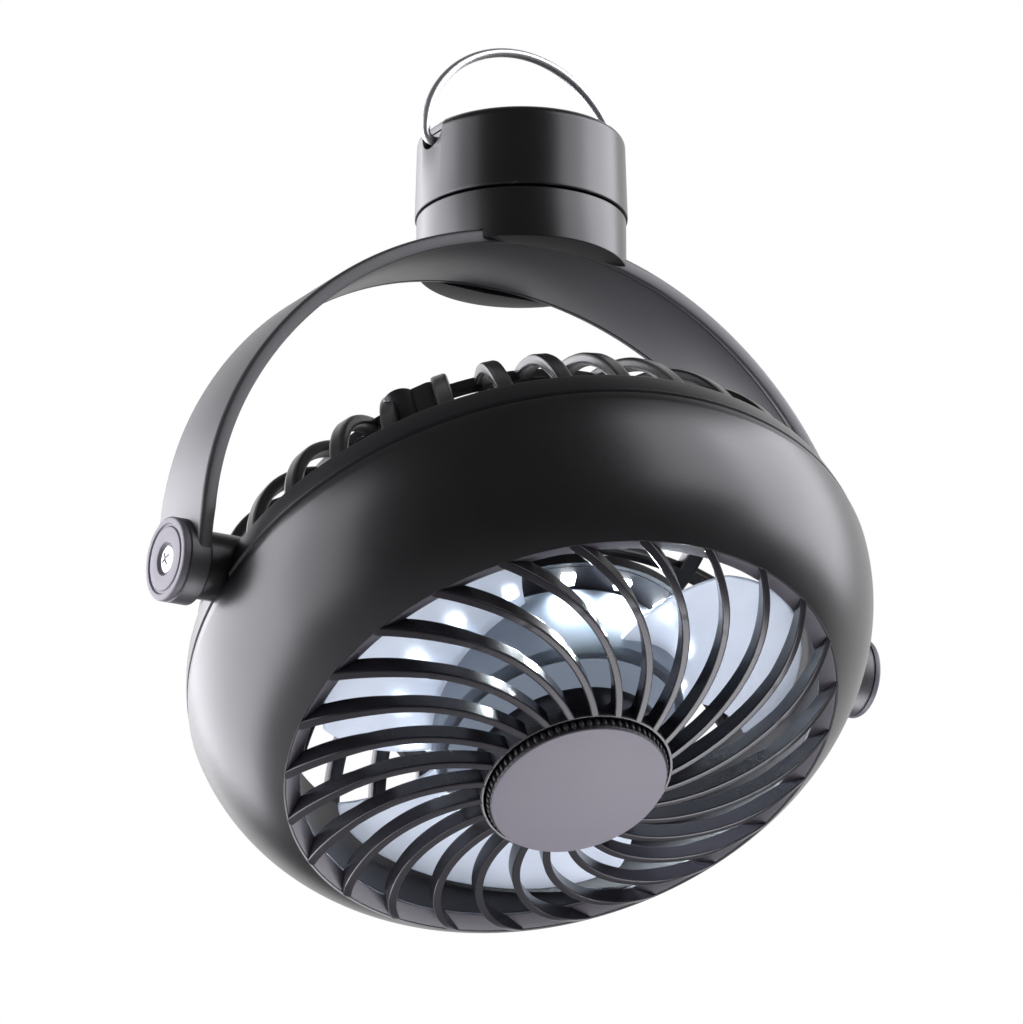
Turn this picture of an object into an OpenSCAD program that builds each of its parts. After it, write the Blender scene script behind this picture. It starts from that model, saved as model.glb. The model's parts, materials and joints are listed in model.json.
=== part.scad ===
// Portable hanging fan: a round head tilts in a strap yoke under a battery base with a wire bail.
// The origin is the inside top of the bail, where a hook carries the fan. +Z is up, -Y is the front.

/* [Bail] */
// Wire diameter
wire_d = 2.6; // [2:0.1:3.2]
// Half width of the arch, to the wire's centre line
bail_w = 30; // [29.6:0.1:34]
// Height of the arch, to the wire's centre line
bail_h = 28.2; // [27.8:0.1:34]
// Radius of the arch's shoulders
bail_shoulder_r = 26; // [20:0.5:27]
// Radius of the bend into each pivot hole
bail_bend_r = 2.6; // [2:0.1:4]
// Length of each pivot pin inside the base
bail_pin_l = 3.9; // [2.5:0.1:5]

/* [Base] */
// Radius of the cap at its end
cap_r = 28.4; // [27.5:0.1:29]
// Radius of the cap at the seam
cap_seam_r = 29; // [28.6:0.1:31]
// Height of the cap, from its end to the seam
cap_h = 23.2; // [22.5:0.1:30]
// Rounding of the cap's end edge
cap_round = 2.6; // [1:0.1:4]
// Wall of the cap and of the collar
base_wall = 2.3; // [1.8:0.1:3]
// Thickness of the cap's end plate
end_t = 2.5; // [2:0.1:3.5]
// Distance from the cap's end to the bail's pivot
bail_drop = 5.2; // [4.8:0.1:7]
// Radius of the notch that clears each bail end
notch_r = 5.5; // [5:0.1:7]
// Depth of the notch from the cap's side
notch_depth = 2.3; // [2:0.1:2.8]
// Radius of the foot pad's ring
pad_r = 23; // [20:0.5:24]
// Width of the foot pad's ring
pad_w = 5; // [3:0.5:7]
// Height that the foot pad stands proud
pad_proud = 0.6; // [0.4:0.1:1.5]

/* [Collar and swivel] */
// Radius of the collar
collar_r = 28.5; // [28:0.1:28.6]
// Height of the collar
collar_h = 14.7; // [13.5:0.1:18]
// Distance that the collar reaches below the strap's crown
collar_lip = 1.1; // [0.6:0.1:2]
// Outer radius of the swivel spigot
spigot_r = 8; // [7:0.1:9]
// Bore of the swivel spigot
spigot_bore_r = 5.5; // [4.5:0.1:6]
// Thickness of the base floor that the spigot turns in
floor_t = 3; // [2.4:0.1:3.4]
// Gap at the seam between cap and collar
seam_gap = 0.4; // [0.3:0.1:0.8]

/* [Yoke] */
// Gap between the head's largest radius and the strap
head_gap = 5.7; // [5:0.1:12]
// Distance of the arch's shoulder centres from the middle plane
yoke_flat = 9; // [6:0.5:14]
// How much higher the arch stands than the radius of its shoulders
yoke_rise = 5.4; // [3:0.1:9]
// Length of the straight leg above the tilt axis
yoke_leg = 4.5; // [2:0.5:8]
// Thickness of the strap
strap_t = 4; // [3.6:0.1:5]
// Width of the strap at the crown
strap_w = 38.3; // [36:0.1:42]
// Width of the strap at the legs
strap_leg_w = 25.5; // [24.5:0.1:28]
// Thickness of the strap's inner cover
cover_t = 1.4; // [1:0.1:1.6]
// Rim of the strap round its cover
cover_rim = 1.6; // [1.2:0.1:2.5]
// Width of the lead's channel
channel_w = 12; // [8:0.5:13]
// Depth of the lead's channel
channel_t = 1.3; // [1:0.1:1.5]

/* [Tilt joint] */
// Angle of the fan's axis below the horizontal
tilt = 61.67; // [40:0.01:90]
// Radius of the yoke's end bosses and of their caps
knob_r = 11.1; // [10.5:0.1:12]
// Height of an end boss on the strap
boss_h = 2.2; // [1.6:0.1:4]
// Thickness of a tilt cap
knob_cap_t = 1.8; // [1.2:0.1:2.2]
// Outer radius of the trunnion
trunnion_r = 5; // [4.5:0.1:5.5]
// Bore of the trunnion, which carries the lead
trunnion_bore_r = 3.2; // [2.5:0.1:3.4]
// Radius of the head's side bosses
lug_r = 9; // [8.5:0.1:10]
// Thickness of the friction washer
washer_t = 0.8; // [0.5:0.1:1]
// Running clearance in radius
run_gap = 0.05; // [0.02:0.01:0.08]

/* [Head] */
// Largest radius of the head
head_r = 93.3; // [88:0.1:110]
// How far the largest radius stands out from the seam between the shells
seam_step = 1.3; // [0.8:0.1:2]
// Distance of that seam in front of the tilt axis
seam_s = 8.1; // [7.5:0.1:9]
// Radius of the front shell's shoulder curve
shoulder_r = 47.5; // [46:0.5:49]
// Distance of the shoulder's centre in front of the tilt axis
shoulder_s = 7; // [6:0.1:8]
// Wall of the front shell
shell_t = 2.4; // [2:0.1:3]
// Distance of the grille's rim inside the largest radius
rim_w = 18.4; // [16:0.1:24]
// Width of the ledge between the rim and the air duct
ledge_w = 4.9; // [4:0.1:7]
// Wall of the air duct
duct_t = 2; // [1.6:0.1:2.4]
// Length of the air duct
duct_l = 30; // [28:0.5:33]

/* [Front grille] */
// Number of ribs
rib_n = 25; // [20:1:28]
// Width of a rib
rib_w = 2.1; // [1.8:0.1:2.5]
// Radius of a rib's curve
rib_curve_r = 46.3; // [44:0.1:50]
// Angle of the first rib
rib_phase = -10.3; // [-14:0.1:0]
// Depth of a rib beside the hub ring
rib_depth_in = 3.6; // [3:0.1:4.5]
// Depth of a rib beside the duct
rib_depth_out = 5; // [4:0.1:5.5]
// Distance of the hub ring's edge in front of the tilt axis
hub_s = 58; // [57:0.1:59]
// Outer radius of the hub ring
hub_r = 27.3; // [27:0.1:28]
// Height of the hub ring
hub_h = 9; // [8:0.1:10]
// Wall of the hub ring and its floor
hub_t = 2.2; // [1.8:0.1:2.3]

/* [Dial] */
// Radius of the dial
dial_r = 24; // [23:0.1:24.3]
// Distance of the dial's face in front of the tilt axis
dial_s = 62; // [61:0.1:63]
// Number of grip ridges round the dial
ridge_n = 72; // [48:2:80]
// Depth of a grip ridge
ridge_depth = 0.7; // [0.4:0.1:0.9]
// Thickness of the dial's face plate
face_t = 0.8; // [0.6:0.1:1]
// Radius of the dial's spindle
spindle_r = 3; // [2.5:0.1:3.5]

/* [Rotor] */
// Number of blades
blade_n = 3; // [3:1:5]
// Angle of the first blade at its back edge
blade_phase = 10.5; // [0:0.5:60]
// Gap between the blade tips and the air duct
tip_gap = 1.5; // [1:0.1:4]
// Angle that a blade sweeps round the axis
blade_sweep = 72; // [60:1:76]
// Angle by which a blade's tip trails its root
blade_lean = 16; // [8:1:20]
// Distance of the blades' front edge in front of the tilt axis
blade_s = 39; // [39:0.1:40]
// Depth of the blades along the axis
blade_h = 15; // [13:0.1:15]
// Width of a blade's section round the axis
blade_w = 8; // [7:0.1:9]
// How far the blades' corners are rounded off at the tip
tip_round = 8; // [5:0.5:10]
// Radius of the rotor's hub at its back
rotor_hub_r = 36; // [35:0.1:36.4]
// Radius of the hub's raised rim
rotor_rim_r = 33.3; // [32:0.1:34]
// Height of that rim above the hub's face
rotor_rim_h = 3.7; // [3:0.1:4]
// Wall of the rotor's hub
rotor_wall = 2; // [1.6:0.1:2.4]
// Radius of the motor shaft
shaft_r = 1.5; // [1.2:0.1:2]

/* [Motor and light] */
// Radius of the motor
motor_r = 16; // [15:0.1:17]
// Length of the motor
motor_l = 30; // [28:0.5:31]
// Wall of the motor cup
cup_t = 3; // [2.4:0.1:3.4]
// Radius of the LED ring
led_ring_r = 38.3; // [38:0.1:41]
// Width of the LED board
led_board_w = 8; // [7:0.1:9]
// Number of LEDs
led_n = 15; // [10:1:18]
// Angle of the first LED
led_phase = 11; // [0:1:23]
// Side of an LED
led_w = 3.5; // [2.8:0.1:4]
// Distance of the LED board's face in front of the tilt axis
led_s = 21.6; // [21:0.1:22]
// Thickness of both circuit boards
board_t = 1.6; // [1.2:0.1:1.8]

/* [Rear cage] */
// Radius of the cage's curve, as seen from the side
cage_curve_r = 51.3; // [50:0.1:53]
// Distance of that curve's centre in front of the tilt axis
cage_s = 14.8; // [14:0.1:16]
// Depth of the cage's bars
cage_t = 3.3; // [2.8:0.1:4]
// Height of the hub plate behind the curve
cage_rise = 0.6; // [0.4:0.1:2]
// Distance of the band's rear edge in front of the tilt axis
band_s = 0.7; // [0:0.1:1.5]
// Number of bars round the rim
bar_n = 36; // [32:4:44]
// Width of a rim bar
bar_w = 4.5; // [3.6:0.1:4.8]
// Width of an inner bar
inner_bar_w = 3.4; // [2.6:0.1:4]
// Radius of the ring between rim bars and inner bars
ring_r = 60; // [57:0.5:62]
// Width of that ring
ring_w = 4; // [3.5:0.1:5]
// Radius of the rear hub plate
plate_r = 34; // [33:0.5:36]
// Distance of the shell screws inside the largest radius
boss_in = 12.3; // [11:0.1:14]

/* [Battery] */
// Length of a battery cell
cell_l = 40; // [36:0.5:41]
// Width of a battery cell
cell_w = 28; // [24:0.5:29]
// Thickness of a battery cell
cell_t = 5.4; // [4.5:0.1:5.6]

/* [Fasteners] */
// Radius of the screw shanks
screw_r = 1.5; // [1.3:0.1:1.6]
// Radius of the screw heads
screw_head_r = 2.8; // [2.6:0.1:3]
// Height of the screw heads
screw_head_h = 1.6; // [1.4:0.1:1.8]

/* [Hidden] */
$fn = 96;
eps = 0.01;
slack = 0.2;                                    // gap between pieces that only sit together
arc_n = 12;                                     // straight runs in a drawn curve

charcoal = "#2e2d32";
dark = "#1b1b1e";
steel = "#b8bcc2";

// Heights, from the hook down to the tilt axis
wire_r = wire_d / 2;
pin_z = -(bail_bend_r + bail_h - wire_r);
end_z = pin_z + bail_drop;
seam_z = end_z - cap_h;
collar_z = seam_z - collar_h;
collar_top_z = seam_z - seam_gap;
crown_z = collar_z + collar_lip;
yoke_w = head_r + head_gap;                     // inner half width of the strap
yoke_shoulder_r = yoke_w - yoke_flat;
yoke_h = yoke_leg + yoke_shoulder_r + yoke_rise;
axis_z = crown_z - yoke_h;

// Base
cap_inner_z = end_z - end_t;
cap_inner_r = cap_seam_r - base_wall - 0.3;
floor_top_z = seam_z + floor_t;
pilot_r = screw_r - 0.3;                        // hole that a screw cuts its thread in
post_r = 3;
post_pcr = 22.5;
post_angles = [60, 120, 240, 300];
spigot_top_z = floor_top_z + slack + 1.9;
tray_t = 1.2;
tray_z = floor_top_z + 2.8;
pad_seat = 0.8;                                 // depth of the foot pad's groove
pcb_t = 1.2;
pcb_l = 34;
port_w = 9;
port_h = 3.2;
port_l = 7.4;
pcb_z = cap_inner_z - 1.2;                      // top of the charge board

// Tilt joint, measured from the centre plane
strap_x = yoke_w + strap_t;
crown_head_r = 2.4;
crown_head_h = 0.8;
crown_pitch = 12;                               // distance of the crown screws from the middle planes
crown_spots = [for (x = [-1, 1], y = [-1, 1]) crown_pitch * [x, y]];
collar_disc_t = 2.7;                            // thickness of the collar's lower disc
collar_plate_t = 2.4;                           // thickness of its upper plate
screw_l = 8;                                    // length of the base's and crown's screws
crown_seat_z = crown_z + cover_t + 0.5;         // where the crown screws' heads bear
lug_x = yoke_w - washer_t - 0.1;
lug_in = 8.7;                                   // how far the head's side lugs reach inwards
lug_in_x = head_r - lug_in;
boss_x = strap_x + boss_h;
knob_x = boss_x + knob_cap_t;
cap_screw_r = 1.2;
cap_screw_l = 3.8;
cap_screw_head_r = 3.5;
cap_screw_head_h = 0.8;
nut_t = 2.6;
nut_x = lug_in_x - slack - nut_t;               // inner face of the nut
nut_r = 6.2;
lead_w = 4.4;                                   // width of the flat lead

// Head, s being the distance in front of the tilt axis
seam_r = head_r - seam_step;
rim_r = head_r - rim_w;
duct_r = rim_r - ledge_w;
blade_r = duct_r - tip_gap;
boss_pcr = head_r - boss_in;
shoulder_c = head_r - shoulder_r;
rim_s = shoulder_s + sqrt(pow(shoulder_r, 2) - pow(rim_r - shoulder_c, 2));
ledge_s = rim_s - 0.5;
duct_out_r = duct_r + duct_t;
lip_r = duct_out_r + 0.4;                       // the shell's ledge ends here, clear of the duct
lip_s = ledge_s + (rim_s - ledge_s) * (lip_r - duct_r) / (rim_r - duct_r);
duct_s = ledge_s - duct_l;
crown_r = 57;                                   // where the grille's curve meets its cone
cone_r = 26;                                    // where the cone of the ribs' tops starts
cone_fall = 0.206;                              // its fall per millimetre of radius
crown_s = hub_s + 0.2 - cone_fall * (crown_r - cone_r);
post_rise = 26;                                 // the shell's screw posts end this far past the shoulder
shell_post_r = 3.6;
edge_rise = 4;                                  // the shell's curve starts this far past the shoulder
hub_floor_s = hub_s - hub_h;
face_r = dial_r - ridge_depth - 0.8;            // the dial face in its recess
cage_c = head_r - cage_curve_r;                 // the cage curve's centre, from the axis
flush = 0.15;                                   // bars lie this far under the band's surface
plate_s = cage_s - cage_curve_r - cage_rise;
plate_in_s = plate_s + cage_t;
bar_pitch = 360 / bar_n;
boss_r = 4.6;
boss_s = -15.5;                                 // rear end of the shell's screw bosses
boss_phase = 5 * bar_pitch - 2;                 // they stand beside every ninth bar
boss_web_w = 5.2;
shell_screw_s = -8;                             // where the shell screws' heads bear

// Motor and rotor
cup_r = motor_r + cup_t;
tray_s = led_s - board_t;
motor_set = 6.8;                                // from the tray to the motor's front end
motor_end_s = tray_s - motor_set;
motor_s = motor_end_s - motor_l;
led_h = 1.3;
blade_back_s = blade_s - blade_h;
hub_back_s = blade_back_s - 0.4;
hub_face_s = blade_s + 1.8;
shaft_end_s = hub_face_s + 2.4;

function arc(cx, cy, r, a0, a1, n = arc_n) =
    [for (i = [0:n]) let (a = a0 + (a1 - a0) * i / n) [cx + r * cos(a), cy + r * sin(a)]];

// The arc of radius r that leaves p, bends by the given angle and ends at q
function bow(p, q, bend, n = arc_n) =
    let (chord = norm(q - p), r = chord / 2 / sin(bend / 2), dir = atan2(q[1] - p[1], q[0] - p[0]),
         start = dir + bend / 2, c = p + r * [sin(start), -cos(start)])
    [for (i = [0:n]) let (a = start + 90 - bend * i / n) c + r * [cos(a), sin(a)]];

// ---- helpers ------------------------------------------------------------------------------------

// Moves a shape drawn about the fan's axis into its place in the head
module in_head() {
    translate([0, 0, axis_z]) rotate([90 + tilt, 0, 0]) children();
}

module tube(r, bore, h) {
    difference() {
        cylinder(r = r, h = h);
        translate([0, 0, -1]) cylinder(r = bore, h = h + 2);
    }
}

// The area under a three-centred arch of half width w and height h, moved out by d
module arch_area(w, h, side_r, d) {
    c = w - side_r;
    top_r = (pow(c, 2) + pow(h, 2) - pow(side_r, 2)) / (2 * (h - side_r));
    drop = top_r - h;
    reach = (top_r + d) * 1.5;
    lean = atan2(c, drop);
    for (side = [-1, 1]) translate([side * c, 0]) circle(side_r + d, $fn = 180);
    intersection() {
        translate([0, -drop]) circle(top_r + d, $fn = 180);
        polygon([[0, -drop], [reach * sin(lean), reach * cos(lean) - drop], [0, 2 * reach],
            [-reach * sin(lean), reach * cos(lean) - drop]]);
    }
}

// The area between two arches that lie d0 and d1 outside the strap's inner curve, with legs
module strap_area(d0, d1) {
    h = yoke_h - yoke_leg;
    low = -knob_r - 5;
    translate([0, yoke_leg]) difference() {
        intersection() {
            arch_area(yoke_w, h, yoke_shoulder_r, d1);
            translate([-200, 0]) square([400, 300]);
        }
        arch_area(yoke_w, h, yoke_shoulder_r, d0);
    }
    for (side = [-1, 1]) translate([side * (yoke_w + (d0 + d1) / 2) - (d1 - d0) / 2, low])
        square([d1 - d0, yoke_leg - low]);
}

// A layer of the strap between d0 and d1, its edges moved in by inset
module strap_layer(d0, d1, inset) {
    half = strap_w / 2 - inset;
    leg_half = strap_leg_w / 2 - inset;
    end_r = knob_r - 0.2 - inset;
    far = strap_x + 5;
    far_half = half + (leg_half - half) * far / yoke_w;
    translate([0, 0, axis_z]) intersection() {
        rotate([90, 0, 0]) translate([0, 0, -strap_w]) linear_extrude(2 * strap_w) strap_area(d0, d1);
        translate([0, 0, -50]) linear_extrude(yoke_h + 100)
            polygon([[0, half], [far, far_half], [far, -far_half], [0, -half],
                [-far, -far_half], [-far, far_half]]);
        rotate([90, 0, 90]) translate([0, 0, -far]) linear_extrude(2 * far) {
            circle(end_r);
            polygon([[-end_r, 0], [end_r, 0], [leg_half + 1, 1.6 * knob_r], [half + 2, 4 * knob_r],
                [half + 2, 2 * yoke_h], [-half - 2, 2 * yoke_h], [-half - 2, 4 * knob_r],
                [-leg_half - 1, 1.6 * knob_r]]);
        }
    }
}

// A flat band of the given width on the strap's middle, from a height above the tilt axis upwards
module strap_band(d0, d1, w, low) {
    translate([0, w / 2, axis_z]) rotate([90, 0, 0]) linear_extrude(w) intersection() {
        strap_area(d0, d1);
        translate([-200, low]) square([400, 300]);
    }
}

module pan_screw(head_r, head_h, r, length) {
    difference() {
        union() {
            translate([0, 0, -head_h]) cylinder(r = head_r, h = head_h);
            cylinder(r = r, h = length);
        }
        for (a = [0, 90]) rotate([0, 0, a]) translate([-head_r * 0.6, -0.4, -head_h - 1])
            cube([head_r * 1.2, 0.8, 1 + head_h * 0.6]);
    }
}

// Both sides of the tilt joint, drawn with Z pointing out of the head
module both_sides() {
    for (side = [-1, 1]) translate([0, 0, axis_z]) rotate([0, side * 90, 0]) children();
}

// ---- base ---------------------------------------------------------------------------------------

module bail_block_at(side) {
    translate([side * (cap_r - notch_depth - 1.9), 0, end_z - bail_drop]) children();
}

module base_cap() {
    floor_r = cap_r - notch_depth;
    color(charcoal) difference() {
        union() {
            difference() {
                rotate_extrude() polygon(concat([[0, end_z]],
                    arc(cap_r - cap_round, end_z - cap_round, cap_round, 90, 0),
                    [[cap_seam_r, seam_z], [0, seam_z]]));
                translate([0, 0, seam_z - 1]) cylinder(r = cap_inner_r, h = cap_inner_z - seam_z + 1);
            }
            for (side = [-1, 1]) bail_block_at(side)
                translate([-2.6, -8, -4]) cube([5.2, 16, bail_drop + 3]);
            for (a = post_angles) rotate([0, 0, a]) translate([post_pcr, 0, floor_top_z])
                cylinder(r = post_r, h = cap_inner_z - floor_top_z + 1);
            for (side = [-1, 1]) translate([side * 0.35 * pcb_l, 0, pcb_z])
                cylinder(r = 2, h = cap_inner_z - pcb_z + 1);
        }
        for (side = [-1, 1]) {
            translate([side * floor_r, 0, end_z - bail_drop + 3.2]) rotate([0, side * 90, 0])
                cylinder(r = notch_r, h = 10);
            translate([side * (floor_r + 5), 0, end_z + 5 - bail_drop + 3.2])
                cube([10, 2 * notch_r, 10], center = true);
            translate([0, 0, pin_z]) rotate([0, side * 90, 0])
                cylinder(r = wire_r + run_gap, h = cap_r);
        }
        for (a = post_angles) rotate([0, 0, a]) translate([post_pcr, 0, floor_top_z - 1])
            cylinder(r = pilot_r, h = screw_l + 1);
        translate([0, 0, pcb_z - pcb_t - port_h / 2])
            port_shape(port_w + 2 * slack, port_h + 2 * slack, 5, cap_seam_r + 5);
        translate([0, 0, end_z - pad_seat]) tube(pad_r, pad_r - pad_w, 5);
    }
}

module base_floor() {
    color(dark) difference() {
        translate([0, 0, seam_z]) cylinder(r = cap_inner_r - slack, h = floor_t);
        translate([0, 0, seam_z - 1]) cylinder(r = spigot_r + run_gap, h = floor_t + 2);
        for (a = post_angles) rotate([0, 0, a]) translate([post_pcr, 0, seam_z - 1]) {
            cylinder(r = screw_r + slack, h = floor_t + 2);
            cylinder(r = screw_head_r + slack, h = 1 + screw_head_h);
        }
    }
}

module base_screws() {
    color(steel) for (a = post_angles) rotate([0, 0, a])
        translate([post_pcr, 0, seam_z + screw_head_h])
        pan_screw(screw_head_r, screw_head_h - slack, pilot_r, screw_l);
}

module foot_pad() {
    color(dark) translate([0, 0, end_z - pad_seat]) tube(pad_r, pad_r - pad_w, 0.8 + pad_proud);
}

module battery_cells() {
    color("#7a8a9a") for (i = [0, 1])
        translate([-cell_l / 2, -cell_w / 2, tray_z + tray_t + i * cell_t])
        cube([cell_l, cell_w, cell_t]);
}

module battery_tray() {
    rim = 1.2;
    color(dark) difference() {
        translate([0, 0, floor_top_z]) union() {
            translate([-cell_l / 2 - rim, -cell_w / 2 - rim, tray_z - floor_top_z])
                cube([cell_l + 2 * rim, cell_w + 2 * rim, tray_t + 2]);
            for (x = [-1, 1], y = [-1, 1]) translate([x * (cell_l / 2 - 3), y * (cell_w / 2 - 3), 0])
                cylinder(r = 2, h = tray_z - floor_top_z + eps);
        }
        translate([-cell_l / 2, -cell_w / 2, tray_z + tray_t]) cube([cell_l, cell_w, 10]);
    }
}

module charge_board() {
    depth = cap_inner_r - 2.5;
    color("#23613f") translate([0, 0, pcb_z - pcb_t]) {
        translate([-pcb_l / 2, -cell_w / 2, 0]) cube([pcb_l, cell_w, pcb_t]);
        translate([-port_w / 2 - 1, 0, 0]) cube([port_w + 2, depth, pcb_t]);
    }
}

// A slot with round ends, from one depth to another
module port_shape(w, h, from, to) {
    translate([0, from, 0]) rotate([-90, 0, 0]) {
        for (side = [-1, 1]) translate([side * (w - h) / 2, 0, 0]) cylinder(r = h / 2, h = to - from);
        translate([-(w - h) / 2, -h / 2, 0]) cube([w - h, h, to - from]);
    }
}

module charge_port() {
    front = cap_seam_r - 0.8;
    color(steel) translate([0, 0, pcb_z - pcb_t - port_h / 2]) {
        difference() {
            port_shape(port_w, port_h, front - port_l, front);
            port_shape(port_w - 0.8, port_h - 0.8, front - port_l + 1.5, front + 1);
        }
        translate([-2.3, front - port_l + 1, -0.35]) cube([4.6, port_l - 1.6, 0.7]);
    }
}

// ---- bail ---------------------------------------------------------------------------------------

module bail() {
    c = bail_w - bail_shoulder_r;
    top_r = (pow(c, 2) + pow(bail_h, 2) - pow(bail_shoulder_r, 2)) / (2 * (bail_h - bail_shoulder_r));
    drop = top_r - bail_h;
    lean = atan2(c, drop);
    color(steel) translate([0, 0, pin_z + bail_bend_r]) {
        translate([0, 0, -drop]) rotate([90, 90 + lean, 0]) rotate([0, 0, 180])
            rotate_extrude(angle = 2 * lean) translate([top_r, 0]) circle(wire_r);
        for (side = [-1, 1]) mirror([side > 0 ? 0 : 1, 0, 0]) {
            translate([c + bail_shoulder_r * sin(lean), 0, bail_shoulder_r * cos(lean)])
                sphere(wire_r + 2 * eps);
            translate([c, 0, 0]) rotate([90, 0, 0])
                rotate_extrude(angle = 90 - lean) translate([bail_shoulder_r, 0]) circle(wire_r);
            translate([bail_w - bail_bend_r, 0, 0]) rotate([90, 0, 0]) rotate([0, 0, -90])
                rotate_extrude(angle = 90) translate([bail_bend_r, 0]) circle(wire_r);
            translate([bail_w - bail_bend_r - bail_pin_l, 0, -bail_bend_r]) rotate([0, 90, 0])
                cylinder(r = wire_r, h = bail_pin_l);
        }
    }
}

// ---- collar and swivel --------------------------------------------------------------------------

module collar() {
    collar_room = collar_h - seam_gap - collar_plate_t - collar_disc_t;
    color(charcoal) difference() {
        union() {
            difference() {
                translate([0, 0, collar_z]) cylinder(r = collar_r, h = collar_top_z - collar_z);
                translate([0, 0, collar_z + collar_disc_t])
                    cylinder(r = collar_r - base_wall, h = collar_room);
            }
            for (p = crown_spots) translate([p[0], p[1], collar_z + 1])
                cylinder(r = post_r, h = collar_h - seam_gap - collar_plate_t);
            translate([0, 0, collar_top_z - 1]) cylinder(r = spigot_r, h = spigot_top_z - collar_top_z + 1);
        }
        strap_layer(-20, strap_t, 0);
        translate([0, 0, collar_z]) cylinder(r = spigot_bore_r, h = 100);
        for (p = crown_spots) translate([p[0], p[1], collar_z])
            cylinder(r = pilot_r, h = collar_h - seam_gap - 1);
    }
}

module swivel_ring() {
    color(steel) translate([0, 0, floor_top_z + slack]) tube(spigot_r + 3.5, spigot_r, 1.9);
}

// ---- yoke ---------------------------------------------------------------------------------------

module yoke_strap() {
    color(charcoal) difference() {
        union() {
            strap_layer(0, strap_t, 0);
            both_sides() translate([0, 0, yoke_w]) cylinder(r = knob_r, h = boss_x - yoke_w);
        }
        difference() {
            strap_layer(-1, cover_t, cover_rim);
            both_sides() translate([0, 0, yoke_w - 2]) cylinder(r = knob_r + 1, h = 10);
        }
        strap_band(cover_t - 0.5, cover_t + channel_t, channel_w, 2);
        both_sides() translate([0, 0, yoke_w - 1]) cylinder(r = trunnion_r, h = 20);
        both_sides() translate([0, 0, yoke_w - 1]) cylinder(r = lug_r, h = 1);
        for (p = crown_spots) translate([p[0], p[1], crown_z - 5]) {
            cylinder(r = screw_r + slack, h = 20);
            cylinder(r = crown_head_r + slack, h = crown_seat_z - crown_z + 5);
        }
        translate([0, 0, crown_z - 5]) cylinder(r = spigot_bore_r - 0.5, h = 20);
    }
}

module yoke_cover() {
    color(charcoal) difference() {
        strap_layer(0, cover_t - eps, cover_rim + 0.1);
        both_sides() translate([0, 0, yoke_w - 2]) cylinder(r = knob_r + 1.1, h = 10);
    }
}

module crown_screws() {
    color(steel) for (p = crown_spots) translate([p[0], p[1], crown_seat_z])
        pan_screw(crown_head_r, crown_head_h, pilot_r, screw_l);
}

module yoke_lead() {
    color("#4a3034") difference() {
        strap_band(cover_t, cover_t + channel_t - 0.1, lead_w, knob_r + 2);
        translate([lead_w, -strap_w, axis_z]) cube([2 * strap_x, 2 * strap_w, 2 * yoke_h]);
    }
}

// ---- tilt joint ---------------------------------------------------------------------------------

module trunnions() {
    color(dark) both_sides() difference() {
        translate([0, 0, nut_x]) cylinder(r = trunnion_r, h = boss_x - nut_x);
        translate([0, 0, nut_x - 1]) cylinder(r = trunnion_bore_r, h = yoke_w + 2.5 - nut_x);
        translate([0, 0, boss_x - 4]) cylinder(r = 1.2, h = 10);
    }
}

module tilt_washers() {
    color("#5a5a5e") both_sides() translate([0, 0, yoke_w - washer_t])
        tube(lug_r - 0.5, trunnion_r, washer_t);
}

module trunnion_nuts() {
    color(steel) both_sides() translate([0, 0, nut_x]) tube(nut_r, trunnion_r, nut_t);
}

module tilt_caps() {
    groove_r = knob_r - 2;
    color("#3a393f") both_sides() translate([0, 0, boss_x]) difference() {
        cylinder(r = knob_r, h = knob_cap_t);
        translate([0, 0, knob_cap_t - 0.4]) tube(groove_r, groove_r - 0.5, 2);
        translate([0, 0, -1]) cylinder(r = 1.4, h = 5);
        translate([0, 0, knob_cap_t - 1]) cylinder(r = 3.85, h = 5);
    }
}

module cap_screws() {
    color(steel) both_sides() translate([0, 0, knob_x - 1]) rotate([180, 0, 0])
        pan_screw(cap_screw_head_r, cap_screw_head_h, cap_screw_r, cap_screw_l);
}

// ---- head shells --------------------------------------------------------------------------------

module grille_rib() {
    intersection() {
        rotate_extrude() polygon(concat(
            [[hub_r - 1.3, hub_s - 0.1]],
            bow([crown_r, crown_s], [rim_r, rim_s], 21, 5),
            [[lip_r, lip_s], [lip_r - 0.1, ledge_s - 0.5], [duct_out_r - 0.6, ledge_s - 0.8],
                [duct_out_r - 1, rim_s + 2.7 - rib_depth_out],
                [crown_r, crown_s - (rib_depth_in + rib_depth_out) / 2],
                [hub_r - 1.3, hub_s - 0.1 - rib_depth_in]]));
        linear_extrude(100) rotate([0, 0, 90 + rib_phase]) intersection() {
            translate([rib_curve_r, 0]) difference() {
                circle(rib_curve_r + rib_w / 2);
                circle(rib_curve_r - rib_w / 2);
            }
            translate([1, -80]) square([100, 80]);
        }
    }
}

// The hub ring, the ribs and the air duct are one moulding
module grille() {
    flange_t = 1.6;
    color(charcoal) in_head() difference() {
        union() {
            for (i = [0:rib_n - 1]) rotate([0, 0, 360 / rib_n * i]) grille_rib();
            translate([0, 0, duct_s]) tube(duct_out_r, duct_r, duct_l);
            translate([0, 0, ledge_s - shell_t - flange_t]) tube(duct_out_r + 2, duct_r + 1, flange_t);
            translate([0, 0, hub_floor_s]) difference() {
                cylinder(r = hub_r, h = hub_h);
                translate([0, 0, hub_t]) cylinder(r = hub_r - hub_t, h = hub_h);
            }
        }
        translate([0, 0, hub_floor_s - 1]) cylinder(r = spindle_r + 1, h = 10);
    }
}

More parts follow.
